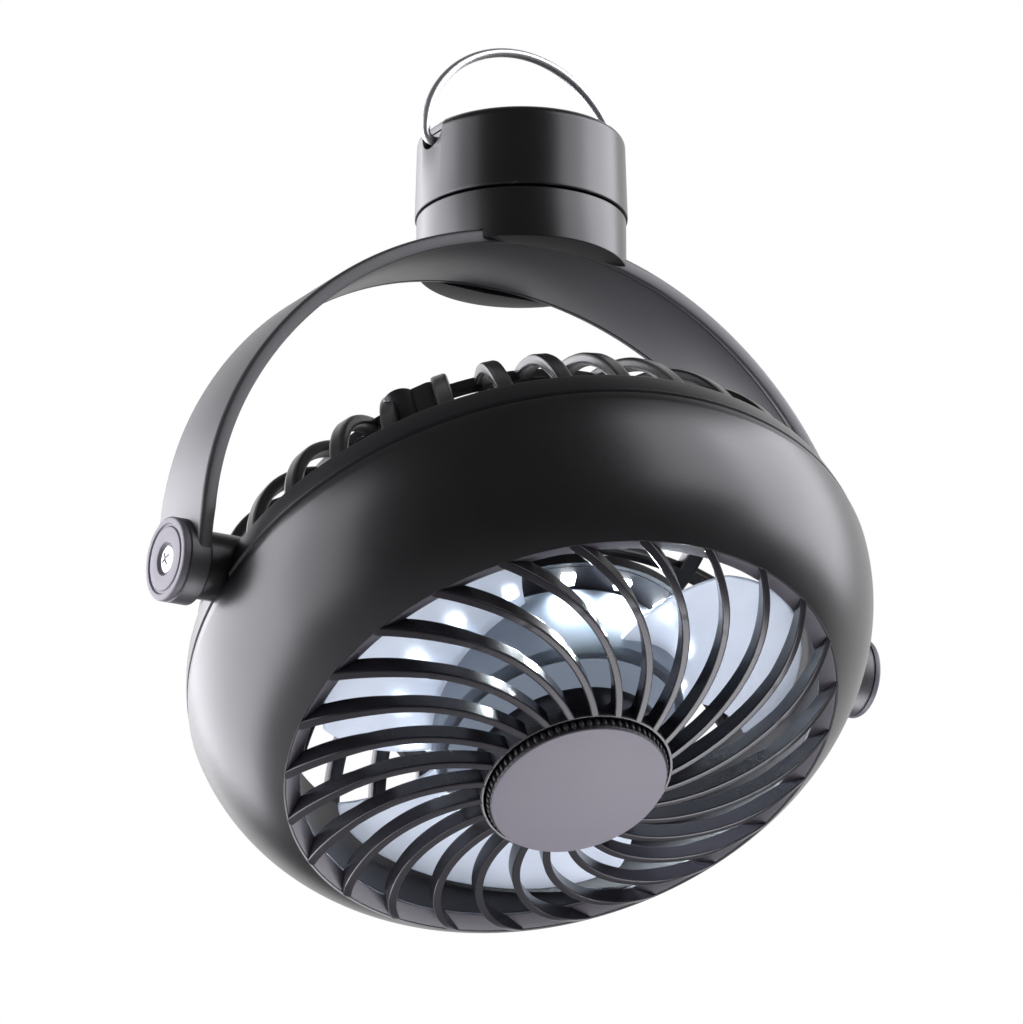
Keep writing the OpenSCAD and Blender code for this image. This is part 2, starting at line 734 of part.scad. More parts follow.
module front_shell() {
    inner_r = shoulder_r - shell_t;
    post_top_s = shoulder_s + post_rise;
    edge_s = shoulder_s + edge_rise;
    start = asin((edge_s - shoulder_s) / shoulder_r);
    stop = acos((rim_r - shoulder_c) / shoulder_r);
    in_stop = asin((ledge_s - shell_t - shoulder_s) / inner_r);
    in_start = asin((seam_s - shoulder_s) / inner_r);
    color(charcoal) in_head() difference() {
        union() {
            rotate_extrude($fn = 180) polygon(concat(
                [[seam_r, seam_s], [head_r - 0.5, seam_s + 0.8]],
                arc(shoulder_c, shoulder_s, shoulder_r, start, stop, 16),
                [[lip_r, lip_s], [lip_r, ledge_s - shell_t]],
                arc(shoulder_c, shoulder_s, inner_r, in_stop, in_start, 12)));
            for (i = [0:3]) rotate([0, 0, boss_phase + 90 * i]) translate([boss_pcr, 0, seam_s])
                cylinder(r = shell_post_r, h = post_top_s - seam_s);
        }
        for (i = [0:3]) rotate([0, 0, boss_phase + 90 * i]) translate([boss_pcr, 0, seam_s - 1])
            cylinder(r = pilot_r, h = 16);
        for (side = [-1, 1]) rotate([0, side * 90, 0]) translate([0, 0, lug_in_x - 1])
            cylinder(r = lug_r + slack, h = 30);
    }
}

// The cage's wall between two radii, a little under the band's surface
module cage_wall(r0, r1) {
    outer = cage_curve_r - flush;
    start = -asin((cage_s - band_s - 2) / cage_curve_r);
    intersection() {
        rotate_extrude($fn = 180) polygon(concat(
            arc(cage_c, cage_s, outer, start, -90, 16),
            [[plate_r, plate_s], [plate_r - 4, plate_s], [plate_r - 4, plate_s + cage_t],
                [plate_r, plate_s + cage_t]],
            arc(cage_c, cage_s, outer - cage_t, -90, start, 16)));
        translate([0, 0, -100]) tube(r1, r0, 200);
    }
}

module cage_bars(n, w, r0, r1) {
    for (i = [0:n - 1]) rotate([0, 0, 360 / n * i])
        translate([r0, -w / 2, plate_s - 5]) cube([r1 - r0, w, band_s + 1.5 - plate_s + 5]);
}

// A boss for a shell screw, with a web to the next bar
module shell_boss() {
    web_l = boss_pcr * sin(bar_pitch * 0.56);
    web_h = seam_s - boss_s;
    translate([0, 0, boss_s]) {
        cylinder(r = boss_r, h = web_h);
        translate([-boss_web_w / 2, -web_l, 0.3]) cube([boss_web_w, web_l, web_h - 0.6]);
        translate([0, -web_l, 0.3]) cylinder(r = boss_web_w / 2 - 0.05, h = web_h - 0.6);
    }
}

module rear_shell() {
    band_in_r = seam_r - 3.4;
    tongue_r = seam_r - 1.5;
    bevel_s = seam_s - 0.8;
    band_start = -asin((cage_s - band_s) / cage_curve_r);
    band_stop = -asin((cage_s - bevel_s) / cage_curve_r);
    color(charcoal) in_head() difference() {
        union() {
            rotate_extrude($fn = 180) polygon(concat(
                [[band_in_r, band_s]],
                arc(cage_c, cage_s, cage_curve_r, band_start, band_stop, 4),
                [[seam_r, seam_s - 0.1], [tongue_r, seam_s - 0.1], [tongue_r, seam_s + 2],
                    [band_in_r, seam_s + 2]]));
            intersection() {
                cage_wall(ring_r - 1, seam_r + 1);
                cage_bars(bar_n, bar_w, ring_r - 1.5, seam_r + 2);
            }
            intersection() {
                cage_wall(plate_r - 2, ring_r + 1);
                cage_bars(bar_n / 2, inner_bar_w, plate_r - 3, ring_r + 1.5);
            }
            cage_wall(ring_r - ring_w / 2, ring_r + ring_w / 2);
            translate([0, 0, plate_s]) cylinder(r = plate_r, h = cage_t);
            for (i = [0:3]) rotate([0, 0, boss_phase + 90 * i])
                translate([boss_pcr, 0, 0]) shell_boss();
            for (side = [-1, 1]) rotate([0, side * 90, 0]) {
                translate([0, 0, lug_in_x]) cylinder(r = lug_r, h = lug_x - lug_in_x);
            }
        }
        for (i = [0:3]) rotate([0, 0, boss_phase + 90 * i]) translate([boss_pcr, 0, boss_s - 5]) {
            cylinder(r = screw_r + slack, h = 40);
            cylinder(r = screw_head_r + slack, h = shell_screw_s - boss_s + 5);
        }
        for (i = [0:3]) rotate([0, 0, 90 * i + 45]) translate([cup_r - 5, 0, plate_s - 1]) {
            cylinder(r = screw_r + slack, h = 10);
            cylinder(r = screw_head_r + slack, h = 1 + screw_head_h);
        }
        for (side = [-1, 1]) rotate([0, side * 90, 0]) {
            translate([0, 0, lug_in_x - 10]) cylinder(r = trunnion_r + run_gap, h = 60);
            translate([0, 0, lug_in_x - 10]) cylinder(r = nut_r + 1, h = 10);
        }
    }
}

module shell_screws() {
    color(steel) in_head() for (i = [0:3]) rotate([0, 0, boss_phase + 90 * i])
        translate([boss_pcr, 0, shell_screw_s]) pan_screw(screw_head_r, screw_head_h, pilot_r, 28);
}

// ---- dial ---------------------------------------------------------------------------------------

module dial_switch() {
    depth = 5;
    color("#3c5a46") in_head() difference() {
        translate([0, 0, hub_floor_s - depth]) cylinder(r = 9, h = depth);
        translate([0, 0, hub_floor_s - depth + 1]) cylinder(r = spindle_r + run_gap, h = depth);
    }
}

module dial() {
    skirt_s = hub_floor_s + hub_t + 0.8;
    step = 360 / ridge_n;
    core_r = dial_r - ridge_depth - 0.2;
    color(dark) in_head() difference() {
        union() {
            translate([0, 0, skirt_s]) linear_extrude(dial_s - 0.6 - skirt_s) polygon(
                [for (i = [0:ridge_n - 1], part = [0, 1])
                    let (a = (i + part / 2) * step) (dial_r - part * ridge_depth) * [cos(a), sin(a)]]);
            translate([0, 0, dial_s - 0.6]) cylinder(r1 = core_r, r2 = core_r - 0.2, h = 0.6);
            translate([0, 0, hub_floor_s - 3]) cylinder(r = spindle_r, h = dial_s - 2 - hub_floor_s);
        }
        translate([0, 0, skirt_s - 1]) tube(dial_r - 3, spindle_r, dial_s - 3 - skirt_s);
        translate([0, 0, dial_s - face_t]) cylinder(r = face_r, h = 5);
    }
}

module dial_face() {
    color("#6d6a73") in_head() translate([0, 0, dial_s - face_t]) cylinder(r = face_r, h = face_t);
}

// ---- motor and light ----------------------------------------------------------------------------

module motor_mount() {
    tray_in_r = led_ring_r - led_board_w / 2 - 1.4;
    tray_out_r = led_ring_r + led_board_w / 2 + 1.4;
    cup_end_s = motor_end_s + 2;
    color(dark) in_head() difference() {
        union() {
            translate([0, 0, plate_in_s]) cylinder(r = cup_r, h = cup_end_s - plate_in_s);
            translate([0, 0, tray_s - 1.6]) tube(tray_out_r, tray_in_r, 1.6 + board_t);
            for (i = [0:5]) rotate([0, 0, 60 * i]) translate([cup_r - 1, -2.5, cup_end_s - 2])
                cube([tray_in_r - cup_r + 2, 5, tray_s - cup_end_s + 2.5]);
        }
        translate([0, 0, motor_s]) cylinder(r = motor_r, h = motor_l);
        translate([0, 0, motor_end_s - 1]) cylinder(r = 5, h = 10);
        translate([0, 0, plate_in_s - 1]) cylinder(r = cup_r - 9, h = motor_s - plate_in_s - 1);
        translate([0, 0, tray_s])
            tube(led_ring_r + led_board_w / 2 + slack, led_ring_r - led_board_w / 2 - slack, 5);
        for (i = [0:3]) rotate([0, 0, 90 * i + 45]) translate([cup_r - 5, 0, plate_in_s - 1])
            cylinder(r = pilot_r, h = 2.4);
    }
}

module mount_screws() {
    color(steel) in_head() for (i = [0:3]) rotate([0, 0, 90 * i + 45])
        translate([cup_r - 5, 0, plate_s + screw_head_h])
        pan_screw(screw_head_r, screw_head_h - slack, pilot_r, plate_in_s + 1.3 - plate_s - screw_head_h);
}

module motor() {
    color("#8d9096") in_head() difference() {
        union() {
            translate([0, 0, motor_s]) cylinder(r = motor_r, h = motor_l);
            translate([0, 0, motor_end_s]) cylinder(r = 4.5, h = 2);
        }
        translate([0, 0, motor_s + 3]) cylinder(r = shaft_r + run_gap, h = motor_l + 10);
    }
}

module led_board() {
    color("#26282c") in_head() translate([0, 0, tray_s])
        tube(led_ring_r + led_board_w / 2, led_ring_r - led_board_w / 2, board_t);
}

module leds() {
    color("#fff8e0") in_head() for (i = [0:led_n - 1]) rotate([0, 0, led_phase + 360 / led_n * i])
        translate([led_ring_r - led_w / 2, -led_w / 2, led_s]) cube([led_w, led_w, led_h]);
}

// ---- rotor --------------------------------------------------------------------------------------

// One blade's section, a sickle bar from the hub to the tip
module blade_section() {
    steps = 4;
    r0 = rotor_rim_r - 1;
    reach = blade_r + 1 - r0;
    function lean(r) = -blade_lean * pow((r - r0) / reach, 2);
    function edge(r, side) = let (a = lean(r) + side * blade_w / r * 90 / PI) [r * cos(a), r * sin(a)];
    polygon(concat(
        [for (i = [0:steps]) edge(r0 + reach * i / steps, -1)],
        [for (i = [steps:-1:0]) edge(r0 + reach * i / steps, 1)]));
}

// What the blades keep of their tips, rounded off at the front and back edges
module blade_reach() {
    mid_s = blade_s - blade_h / 2;
    half = blade_h / 2 + 0.6;
    soft = 0.55;                                // share of the depth over which the rounding runs
    ends = [for (i = [0:6]) let (a = 90 / 6 * i)
        [blade_r - tip_round * (1 - cos(a)), mid_s + half * (1 - soft + soft * sin(a))]];
    rotate_extrude() polygon(concat(
        [[rotor_rim_r - 4, mid_s + half]],
        [for (i = [6:-1:0]) ends[i]],
        [for (i = [0:6]) [ends[i][0], 2 * mid_s - ends[i][1]]],
        [[rotor_rim_r - 4, mid_s - half]]));
}

module fan_rotor() {
    hub_l = hub_face_s + rotor_rim_h - hub_back_s;
    wall = rotor_wall;
    room_l = hub_face_s - wall - hub_back_s + 1;
    color("#b9c6d6", 0.75) in_head() difference() {
        union() {
            translate([0, 0, hub_back_s]) cylinder(r1 = rotor_hub_r, r2 = rotor_rim_r, h = hub_l);
            intersection() {
                for (i = [0:blade_n - 1]) rotate([0, 0, blade_phase + 360 / blade_n * i])
                    translate([0, 0, blade_back_s])
                    linear_extrude(blade_h, twist = -blade_sweep, slices = 10) blade_section();
                blade_reach();
            }
        }
        difference() {
            translate([0, 0, hub_back_s - 1])
                cylinder(r1 = rotor_hub_r - wall, r2 = rotor_rim_r - wall, h = room_l);
            translate([0, 0, hub_back_s - 1]) cylinder(r = 4, h = hub_l);
        }
        translate([0, 0, hub_face_s]) cylinder(r = rotor_rim_r - wall, h = 20);
        translate([0, 0, blade_back_s - 2]) cylinder(r = shaft_r, h = 100);
    }
}

module motor_shaft() {
    color(steel) in_head() translate([0, 0, motor_s + 4])
        cylinder(r = shaft_r, h = shaft_end_s - motor_s - 4);
}

module rotor_clip() {
    color(steel) in_head() translate([0, 0, hub_face_s]) tube(4, shaft_r, 1.2);
}

base_cap();
base_floor();
base_screws();
foot_pad();
battery_cells();
battery_tray();
charge_board();
charge_port();
bail();
collar();
swivel_ring();
yoke_strap();
yoke_cover();
crown_screws();
yoke_lead();
trunnions();
tilt_washers();
trunnion_nuts();
tilt_caps();
cap_screws();
front_shell();
grille();
rear_shell();
shell_screws();
dial_switch();
dial();
dial_face();
motor_mount();
mount_screws();
motor();
led_board();
leds();
fan_rotor();
motor_shaft();
rotor_clip();
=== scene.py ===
"""Dresses the hanging fan: a round head in a strap yoke, under a battery base that hangs from a bail."""
import json
import logging
import math
from dataclasses import dataclass
from enum import Enum
from typing import Callable, Optional, Sequence, Union

import bmesh
import bpy
import numpy as np
from mathutils import Matrix, Vector


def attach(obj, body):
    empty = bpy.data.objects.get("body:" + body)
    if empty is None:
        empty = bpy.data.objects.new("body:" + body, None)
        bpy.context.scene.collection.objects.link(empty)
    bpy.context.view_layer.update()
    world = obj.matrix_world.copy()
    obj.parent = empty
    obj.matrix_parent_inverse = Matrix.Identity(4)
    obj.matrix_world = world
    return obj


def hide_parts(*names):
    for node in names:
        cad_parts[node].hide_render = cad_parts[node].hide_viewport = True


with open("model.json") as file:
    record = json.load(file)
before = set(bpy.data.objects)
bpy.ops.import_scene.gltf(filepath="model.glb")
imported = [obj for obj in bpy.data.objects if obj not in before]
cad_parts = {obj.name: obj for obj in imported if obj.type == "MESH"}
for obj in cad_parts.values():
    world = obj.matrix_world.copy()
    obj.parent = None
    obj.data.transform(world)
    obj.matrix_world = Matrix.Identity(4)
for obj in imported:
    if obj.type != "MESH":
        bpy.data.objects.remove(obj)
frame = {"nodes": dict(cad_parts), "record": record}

LOG = logging.getLogger("fan")
MM = 0.001
Point = tuple[float, float, float]
Pair = tuple[float, float]
Value = Union["Sock", float, int]
Corners = Sequence[tuple[float, ...]]
Faces = Sequence[Sequence[int]]


class Body(str, Enum):
    """The bodies that pieces ride on."""

    BASE = "base"
    BAIL = "bail"
    YOKE = "yoke"
    HEAD = "head"
    DIAL = "dial"
    ROTOR = "rotor"


# ---- node trees ---------------------------------------------------------------------------------


def _operator(operation: str, swapped: bool = False) -> Callable[["Sock", Value], "Sock"]:
    """Makes a Sock's operator on two numbers.

    Args:
        operation: the Math node's operation.
        swapped: whether the other number comes first.

    Returns:
        The method.
    """
    def method(self: "Sock", other: Value) -> "Sock":
        """Adds the node and returns its result."""
        return self.maker.maths(operation, *((other, self) if swapped else (self, other)))
    return method


def _function(operation: str) -> Callable[["Sock"], "Sock"]:
    """Makes a Sock's function of one number, from the Math node's operation."""
    return lambda self: self.maker.maths(operation, self)


class Sock:
    """A number socket of a node tree, on which Python's operators add Math nodes."""

    def __init__(self, maker: "NodeMaker", socket: bpy.types.NodeSocket) -> None:
        """Wraps one output socket.

        Args:
            maker: the maker that owns the tree.
            socket: the output socket that holds the number.
        """
        self.maker = maker
        self.socket = socket

    __add__ = __radd__ = _operator("ADD")
    __mul__ = __rmul__ = _operator("MULTIPLY")
    __sub__, __rsub__ = _operator("SUBTRACT"), _operator("SUBTRACT", True)
    __truediv__ = _operator("DIVIDE")
    cos, sin, root = _function("COSINE"), _function("SINE"), _function("SQRT")
    absolute, sign, floor = _function("ABSOLUTE"), _function("SIGN"), _function("FLOOR")
    at_least, at_most, over = _operator("MAXIMUM"), _operator("MINIMUM"), _operator("GREATER_THAN")
    power = _operator("POWER")

    def clamp(self) -> "Sock":
        """Limits to the range 0 to 1."""
        return self.at_least(0.0).at_most(1.0)

    def step(self, low: float, high: float) -> "Sock":
        """Rises smoothly from 0 at low to 1 at high."""
        ramp = ((self - low) / (high - low)).clamp()
        return ramp * ramp * (3.0 - 2.0 * ramp)


class NodeMaker:
    """Adds nodes to one tree, each from its type, its settings and the values of its sockets."""

    def __init__(self, tree: bpy.types.NodeTree) -> None:
        """Clears the tree.

        Args:
            tree: a shader tree or a geometry tree.
        """
        self.tree = tree
        tree.nodes.clear()

    def node(self, kind: str, settings: Optional[dict] = None, **sockets: object) -> bpy.types.Node:
        """Adds one node.

        Args:
            kind: the node's type name.
            settings: its properties, set before the sockets.
            sockets: values or links by socket name, with _ for a blank, or by number as n0, n1.

        Returns:
            The node.
        """
        made = self.tree.nodes.new(kind)
        for key, value in (settings or {}).items():
            setattr(made, key, value)
        for key, value in sockets.items():
            numbered = key[0] == "n" and key[1:].isdigit()
            self.feed(made.inputs[int(key[1:]) if numbered else key.replace("_", " ")], value)
        return made

    def feed(self, place: bpy.types.NodeSocket, value: object) -> None:
        """Links a socket to a socket, or sets its value."""
        if isinstance(value, Sock):
            value = value.socket
        if isinstance(value, bpy.types.NodeSocket):
            self.tree.links.new(value, place)
        elif isinstance(value, (tuple, list)) and len(value) == 3 and place.type == "RGBA":
            place.default_value = (*value, 1.0)
        else:
            place.default_value = value

    def maths(self, operation: str, *values: Value) -> Sock:
        """Adds a Math node.

        Args:
            operation: the node's operation.
            values: numbers or sockets, in order.

        Returns:
            The result.
        """
        made = self.node("ShaderNodeMath", {"operation": operation})
        for place, value in zip(made.inputs, values):
            self.feed(place, value)
        return Sock(self, made.outputs[0])

    def mix(self, share: Value, low: object, high: object) -> bpy.types.NodeSocket:
        """Mixes two colours, by how much of the second one shows."""
        return self.node("ShaderNodeMix", {"data_type": "RGBA"}, n0=share, n6=low, n7=high).outputs[2]

    def noise(self, scale: float, detail: float = 3.0, stretch: Point = (1.0, 1.0, 1.0)) -> Sock:
        """Solid noise on the piece's own coordinates.

        Args:
            scale: features per metre.
            detail: octaves.
            stretch: factors on the three axes.

        Returns:
            The noise, about 0 to 1.
        """
        where = self.node("ShaderNodeTexCoord").outputs["Object"]
        moved = self.node("ShaderNodeMapping", n0=where, Scale=stretch).outputs[0]
        made = self.node("ShaderNodeTexNoise", Vector=moved, Scale=scale, Detail=detail)
        return Sock(self, made.outputs[0])


# ---- finishes -----------------------------------------------------------------------------------


@dataclass(frozen=True)
class Finish:
    """One finish, from which a material is made once."""

    name: str
    slot: str
    colour: Point

    def build(self) -> bpy.types.Material:
        """Makes the material, or finds it again.

        Returns:
            The material.
        """
        found = bpy.data.materials.get(self.name)
        if found:
            return found
        made = bpy.data.materials.new(self.name)
        made.use_nodes = True
        maker = NodeMaker(made.node_tree)
        maker.node("ShaderNodeOutputMaterial", Surface=self.surface(maker))
        made.diffuse_color = (*self.colour, 1.0)
        return made

    def surface(self, maker: NodeMaker) -> bpy.types.NodeSocket:
        """Adds the shader and returns its output."""
        raise NotImplementedError

    def shade(self, share: float) -> Point:
        """The finish's colour times a number."""
        return tuple(c * share for c in self.colour)

    @staticmethod
    def principled(maker: NodeMaker, relief: Optional[tuple[Sock, float, float]] = None,
                   **sockets: object) -> bpy.types.NodeSocket:
        """Adds a Principled shader.

        Args:
            maker: the tree's maker.
            relief: the bump's height, strength and distance.
            sockets: the shader's other sockets.

        Returns:
            The shader's output.
        """
        if relief:
            height, strength, distance = relief
            bump = maker.node("ShaderNodeBump", Height=height, Strength=strength, Distance=distance)
            sockets["Normal"] = bump.outputs[0]
        return maker.node("ShaderNodeBsdfPrincipled", **sockets).outputs[0]


@dataclass(frozen=True)
class Moulded(Finish):
    """Moulded plastic with a fine spark-eroded grain."""

    rough: float = 0.5
    grain: float = 0.03
    grain_size: float = 0.35
    specular: float = 0.5
    mottle: float = 0.12

    def surface(self, maker: NodeMaker) -> bpy.types.NodeSocket:
        """Adds the shader and returns its output."""
        fine, cloud = maker.noise(1000.0 / self.grain_size, 2.0), maker.noise(60.0)
        dark, light = self.shade(1.0 - self.mottle), self.shade(1.0 + self.mottle)
        colour = maker.mix(cloud * 0.6 + fine * 0.4, dark, light)
        rough = self.rough + (cloud - 0.5) * 0.08 + (fine - 0.5) * 0.1
        return self.principled(maker, (fine, self.grain, 0.0004), Base_Color=colour, Roughness=rough,
                               Specular_IOR_Level=self.specular)


@dataclass(frozen=True)
class Metal(Finish):
    """Bare metal, polished or turned."""

    rough: float = 0.12
    streak: float = 0.05

    def surface(self, maker: NodeMaker) -> bpy.types.NodeSocket:
        """Adds the shader and returns its output."""
        lines, cloud = maker.noise(900.0, 2.0, (1.0, 1.0, 0.15)), maker.noise(80.0, 2.0)
        rough = self.rough + (lines - 0.5) * self.streak + (cloud - 0.5) * self.streak
        colour = maker.mix(lines, self.shade(0.9), self.colour)
        return self.principled(maker, (lines, 0.02, 0.0002), Base_Color=colour, Roughness=rough, Metallic=1.0)


@dataclass(frozen=True)
class Frosted(Finish):
    """Frosted translucent plastic, lit from behind."""

    rough: float = 0.35
    clear: float = 0.45

    def surface(self, maker: NodeMaker) -> bpy.types.NodeSocket:
        """Adds the shader and returns its output."""
        fine, cloud = maker.noise(2500.0, 2.0), maker.noise(45.0, 2.0)
        return self.principled(
            maker, (fine, 0.04, 0.0003), Base_Color=maker.mix(cloud, self.shade(0.92), self.colour),
            Roughness=self.rough + (fine - 0.5) * 0.12, Transmission_Weight=self.clear, IOR=1.3)


@dataclass(frozen=True)
class Lit(Finish):
    """A light source's lens."""

    strength: float = 12.0

    def surface(self, maker: NodeMaker) -> bpy.types.NodeSocket:
        """Adds the shader and returns its output."""
        colour = maker.mix(maker.noise(700.0, 1.0), self.shade(0.94), self.colour)
        return self.principled(maker, Base_Color=colour, Emission_Color=colour, Roughness=0.2,
                               Emission_Strength=self.strength)


@dataclass(frozen=True)
class Circuit(Finish):
    """A circuit board's lacquer over copper tracks."""

    track: Point = (0.25, 0.16, 0.05)
    pitch: float = 0.8

    def surface(self, maker: NodeMaker) -> bpy.types.NodeSocket:
        """Adds the shader and returns its output."""
        unit = self.pitch * MM
        cells = maker.node(
            "ShaderNodeTexBrick", Vector=maker.node("ShaderNodeTexCoord").outputs["Object"], Scale=1.0,
            Mortar_Size=unit * 0.2, Brick_Width=unit * 6, Row_Height=unit * 2)
        colour = maker.mix(Sock(maker, cells.outputs["Fac"]) * 0.5, self.colour, self.track)
        return self.principled(maker, Base_Color=colour, Roughness=0.3 + maker.noise(400.0) * 0.2)


SHELL = Moulded("shell_charcoal", "charcoal", (0.006, 0.0057, 0.0067), rough=0.31, grain=0.05, specular=0.85)
STRAP = Moulded("strap_charcoal", "charcoal", (0.045, 0.043, 0.048), rough=0.42, grain=0.05, specular=1.0)
BASE = Moulded("base_charcoal", "charcoal", (0.004, 0.0038, 0.0044), rough=0.31, grain=0.05, specular=0.85)
RIB = Moulded("rib_gloss", "charcoal", (0.017, 0.0155, 0.02), rough=0.24, grain=0.004, specular=0.55)
CAGE = Moulded("cage_charcoal", "charcoal", (0.009, 0.0085, 0.01), rough=0.33, grain=0.04, specular=0.6)
LEDGE = Moulded("ledge_charcoal", "charcoal", (0.095, 0.088, 0.105), rough=0.4, grain=0.05, specular=0.5)
INNER = Moulded("inner_black", "black_plastic", (0.006, 0.006, 0.008), rough=0.4, grain=0.03, specular=0.3)
KNURL = Moulded("knurl_black", "black_plastic", (0.012, 0.011, 0.013), rough=0.4, grain=0.03)
DIAL_FACE = Moulded("dial_mauve", "dial_grey", (0.16, 0.147, 0.18), rough=0.45, grain=0.06, mottle=0.05)
CAP_FACE = Moulded("cap_mauve", "cap_grey", (0.15, 0.14, 0.165), rough=0.45, grain=0.05, mottle=0.05)
CHROME = Metal("bail_chrome", "chrome_wire", (0.86, 0.86, 0.88), rough=0.34, streak=0.04)
STEEL = Metal("screw_steel", "steel", (0.6, 0.6, 0.62), rough=0.25, streak=0.1)
MOTOR = Metal("motor_can", "motor_metal", (0.55, 0.55, 0.57), rough=0.35, streak=0.15)
RUBBER = Moulded("foot_rubber", "foot_rubber", (0.018, 0.018, 0.02), rough=0.8, grain=0.1, specular=0.3)
WASHER = Moulded("washer_rubber", "washer", (0.03, 0.03, 0.033), rough=0.75, grain=0.08, specular=0.3)
CELL = Moulded("cell_wrap", "cell", (0.05, 0.08, 0.14), rough=0.4, grain=0.02)
BOARD = Circuit("charge_lacquer", "circuit", (0.01, 0.07, 0.03))
LIGHT_BOARD = Moulded(
    "light_board_black", "light_board", (0.004, 0.004, 0.006), rough=0.5, grain=0.02, specular=0.2)
LEAD = Moulded("lead_sheath", "lead", (0.09, 0.02, 0.025), rough=0.5, grain=0.03)
LENS = Lit("led_lens", "led", (0.92, 0.97, 1.0), strength=30.0)
BLADE = Frosted("blade_frosted", "blade", (0.7, 0.75, 0.84))
# The hub's finish is the blades' frosted plastic made darker: painted shade, not a smoked tint.
SHADED_HUB = Frosted("hub_frosted_painted_shade", "blade", (0.2, 0.235, 0.29), rough=0.5, clear=0.2)

NODE_FINISH: dict[str, Finish] = {
    "base_cap": BASE, "base_floor": INNER, "base_screws": STEEL, "foot_pad": RUBBER, "battery_cells": CELL,
    "battery_tray": INNER, "charge_board": BOARD, "charge_port": STEEL, "bail": CHROME, "collar": BASE,
    "swivel_ring": STEEL, "yoke_strap": STRAP, "yoke_cover": STRAP, "crown_screws": STEEL, "yoke_lead": LEAD,
    "trunnions": INNER, "tilt_washers": WASHER, "trunnion_nuts": STEEL, "tilt_caps": CAP_FACE,
    "cap_screws": STEEL, "front_shell": SHELL, "grille": RIB, "rear_shell": CAGE, "shell_screws": STEEL,
    "dial_switch": BOARD, "dial": KNURL, "dial_face": DIAL_FACE, "motor_mount": INNER, "mount_screws": STEEL,
    "motor": MOTOR, "led_board": LIGHT_BOARD, "leds": LENS, "fan_rotor": BLADE, "motor_shaft": STEEL,
    "rotor_clip": STEEL,
}


# ---- mesh making --------------------------------------------------------------------------------


def on_circle(r: float, degrees: float, cx: float = 0.0, cy: float = 0.0) -> Pair:
    """Finds the point of a circle at an angle in degrees; cx and cy are its centre."""
    turn = math.radians(degrees)
    return cx + r * math.cos(turn), cy + r * math.sin(turn)


def arc(cx: float, cy: float, r: float, a0: float, a1: float, n: int) -> list[Pair]:
    """Points along an arc between two angles in degrees, n straight runs apart."""
    return [on_circle(r, a0 + (a1 - a0) * i / n, cx, cy) for i in range(n + 1)]


def arch(off: float, high: float, shoulder: float) -> Point:
    """Finds an arch's top arc: radius, its centre's drop under the shoulders' and half angle in degrees."""
    top = (off**2 + high**2 - shoulder**2) / (2 * (high - shoulder))
    return top, top - high, math.degrees(math.atan2(off, top - high))


def eased(corners: Corners, n: int = 4, closed: bool = True) -> list[Pair]:
    """Rounds the corners of an outline.

    Args:
        corners: points, each with an optional third number, its rounding.
        n: straight runs in each rounding.
        closed: whether the outline closes.

    Returns:
        The rounded outline.
    """
    made: list[Pair] = []
    count = len(corners)
    for i, corner in enumerate(corners):
        here = np.array(corner[:2], float)
        size = corner[2] if len(corner) > 2 else 0.0
        if size <= 0 or (not closed and i in (0, count - 1)):
            made.append((here[0], here[1]))
            continue
        before = np.array(corners[i - 1][:2], float) - here
        after = np.array(corners[(i + 1) % count][:2], float) - here
        reach_in, reach_out = np.linalg.norm(before), np.linalg.norm(after)
        before, after = before / reach_in, after / reach_out
        half = math.acos(max(-1.0, min(1.0, float(before @ after)))) / 2
        leg = min(size / max(math.tan(half), 1e-6), 0.49 * reach_in, 0.49 * reach_out)
        first, last = here + before * leg, here + after * leg
        for t in (k / n for k in range(n + 1)):
            spot = (1 - t) ** 2 * first + 2 * t * (1 - t) * here + t * t * last
            made.append((float(spot[0]), float(spot[1])))
    return made


def head_frame() -> Matrix:
    """The head's own axes: across, up its face, and out of its face, with the tilt axis as origin.

    Returns:
        The matrix from the head's millimetres to the part's metres.
    """
    joints = {j["name"]: j for j in frame["record"]["behaviour"]["joints"]}
    out = Vector(joints["fan_spin"]["axis"]).normalized()
    across = Vector((1.0, 0.0, 0.0))
    turn = Matrix((across, out.cross(across), out)).transposed().to_4x4()
    return Matrix.Translation(Vector(joints["head_tilt"]["pos_m"])) @ turn @ Matrix.Scale(MM, 4)


PART = Matrix.Scale(MM, 4)
HEAD = head_frame()


def along_x(side: int, base: Matrix) -> Matrix:
    """Turns a shape drawn about Z in the base frame so that it points out of a side, -1 or 1."""
    return base @ Matrix.Rotation(side * math.pi / 2, 4, "Y")


def side_mark(side: int) -> str:
    """The letter of a side, -1 or 1, in names."""
    return "l" if side < 0 else "r"


def link(made: bpy.types.Object) -> bpy.types.Object:
    """Adds an object to the scene and returns it."""
    bpy.context.scene.collection.objects.link(made)
    return made


def raw_mesh(name: str, points: Corners, faces: Faces, place: Matrix) -> bpy.types.Object:
    """Makes a mesh object with its place in its vertices.

    Args:
        name: the piece's name.
        points: vertices in millimetres.
        faces: faces by vertex number.
        place: the matrix from millimetres to the part's metres.

    Returns:
        The object.
    """
    mesh = bpy.data.meshes.new(name)
    mesh.from_pydata([place @ Vector(p) for p in points], [], faces)
    return link(bpy.data.objects.new(name, mesh))


def tidy_mesh(piece: bpy.types.Object, sharp: float = 38.0, join: float = 2e-6) -> bpy.types.Object:
    """Merges doubles, turns faces outwards and shades the curves smooth.

    Args:
        piece: the object.
        sharp: edges sharper than this many degrees stay crisp.
        join: how near two vertices must be to merge, in metres.

    Returns:
        The object.
    """
    form = bmesh.new()
    form.from_mesh(piece.data)
    bmesh.ops.remove_doubles(form, verts=form.verts, dist=join)
    bmesh.ops.dissolve_degenerate(form, edges=form.edges, dist=join / 4)
    bmesh.ops.recalc_face_normals(form, faces=form.faces)
    form.to_mesh(piece.data)
    form.free()
    piece.data.shade_smooth()
    piece.data.set_sharp_from_angle(angle=math.radians(sharp))
    return piece


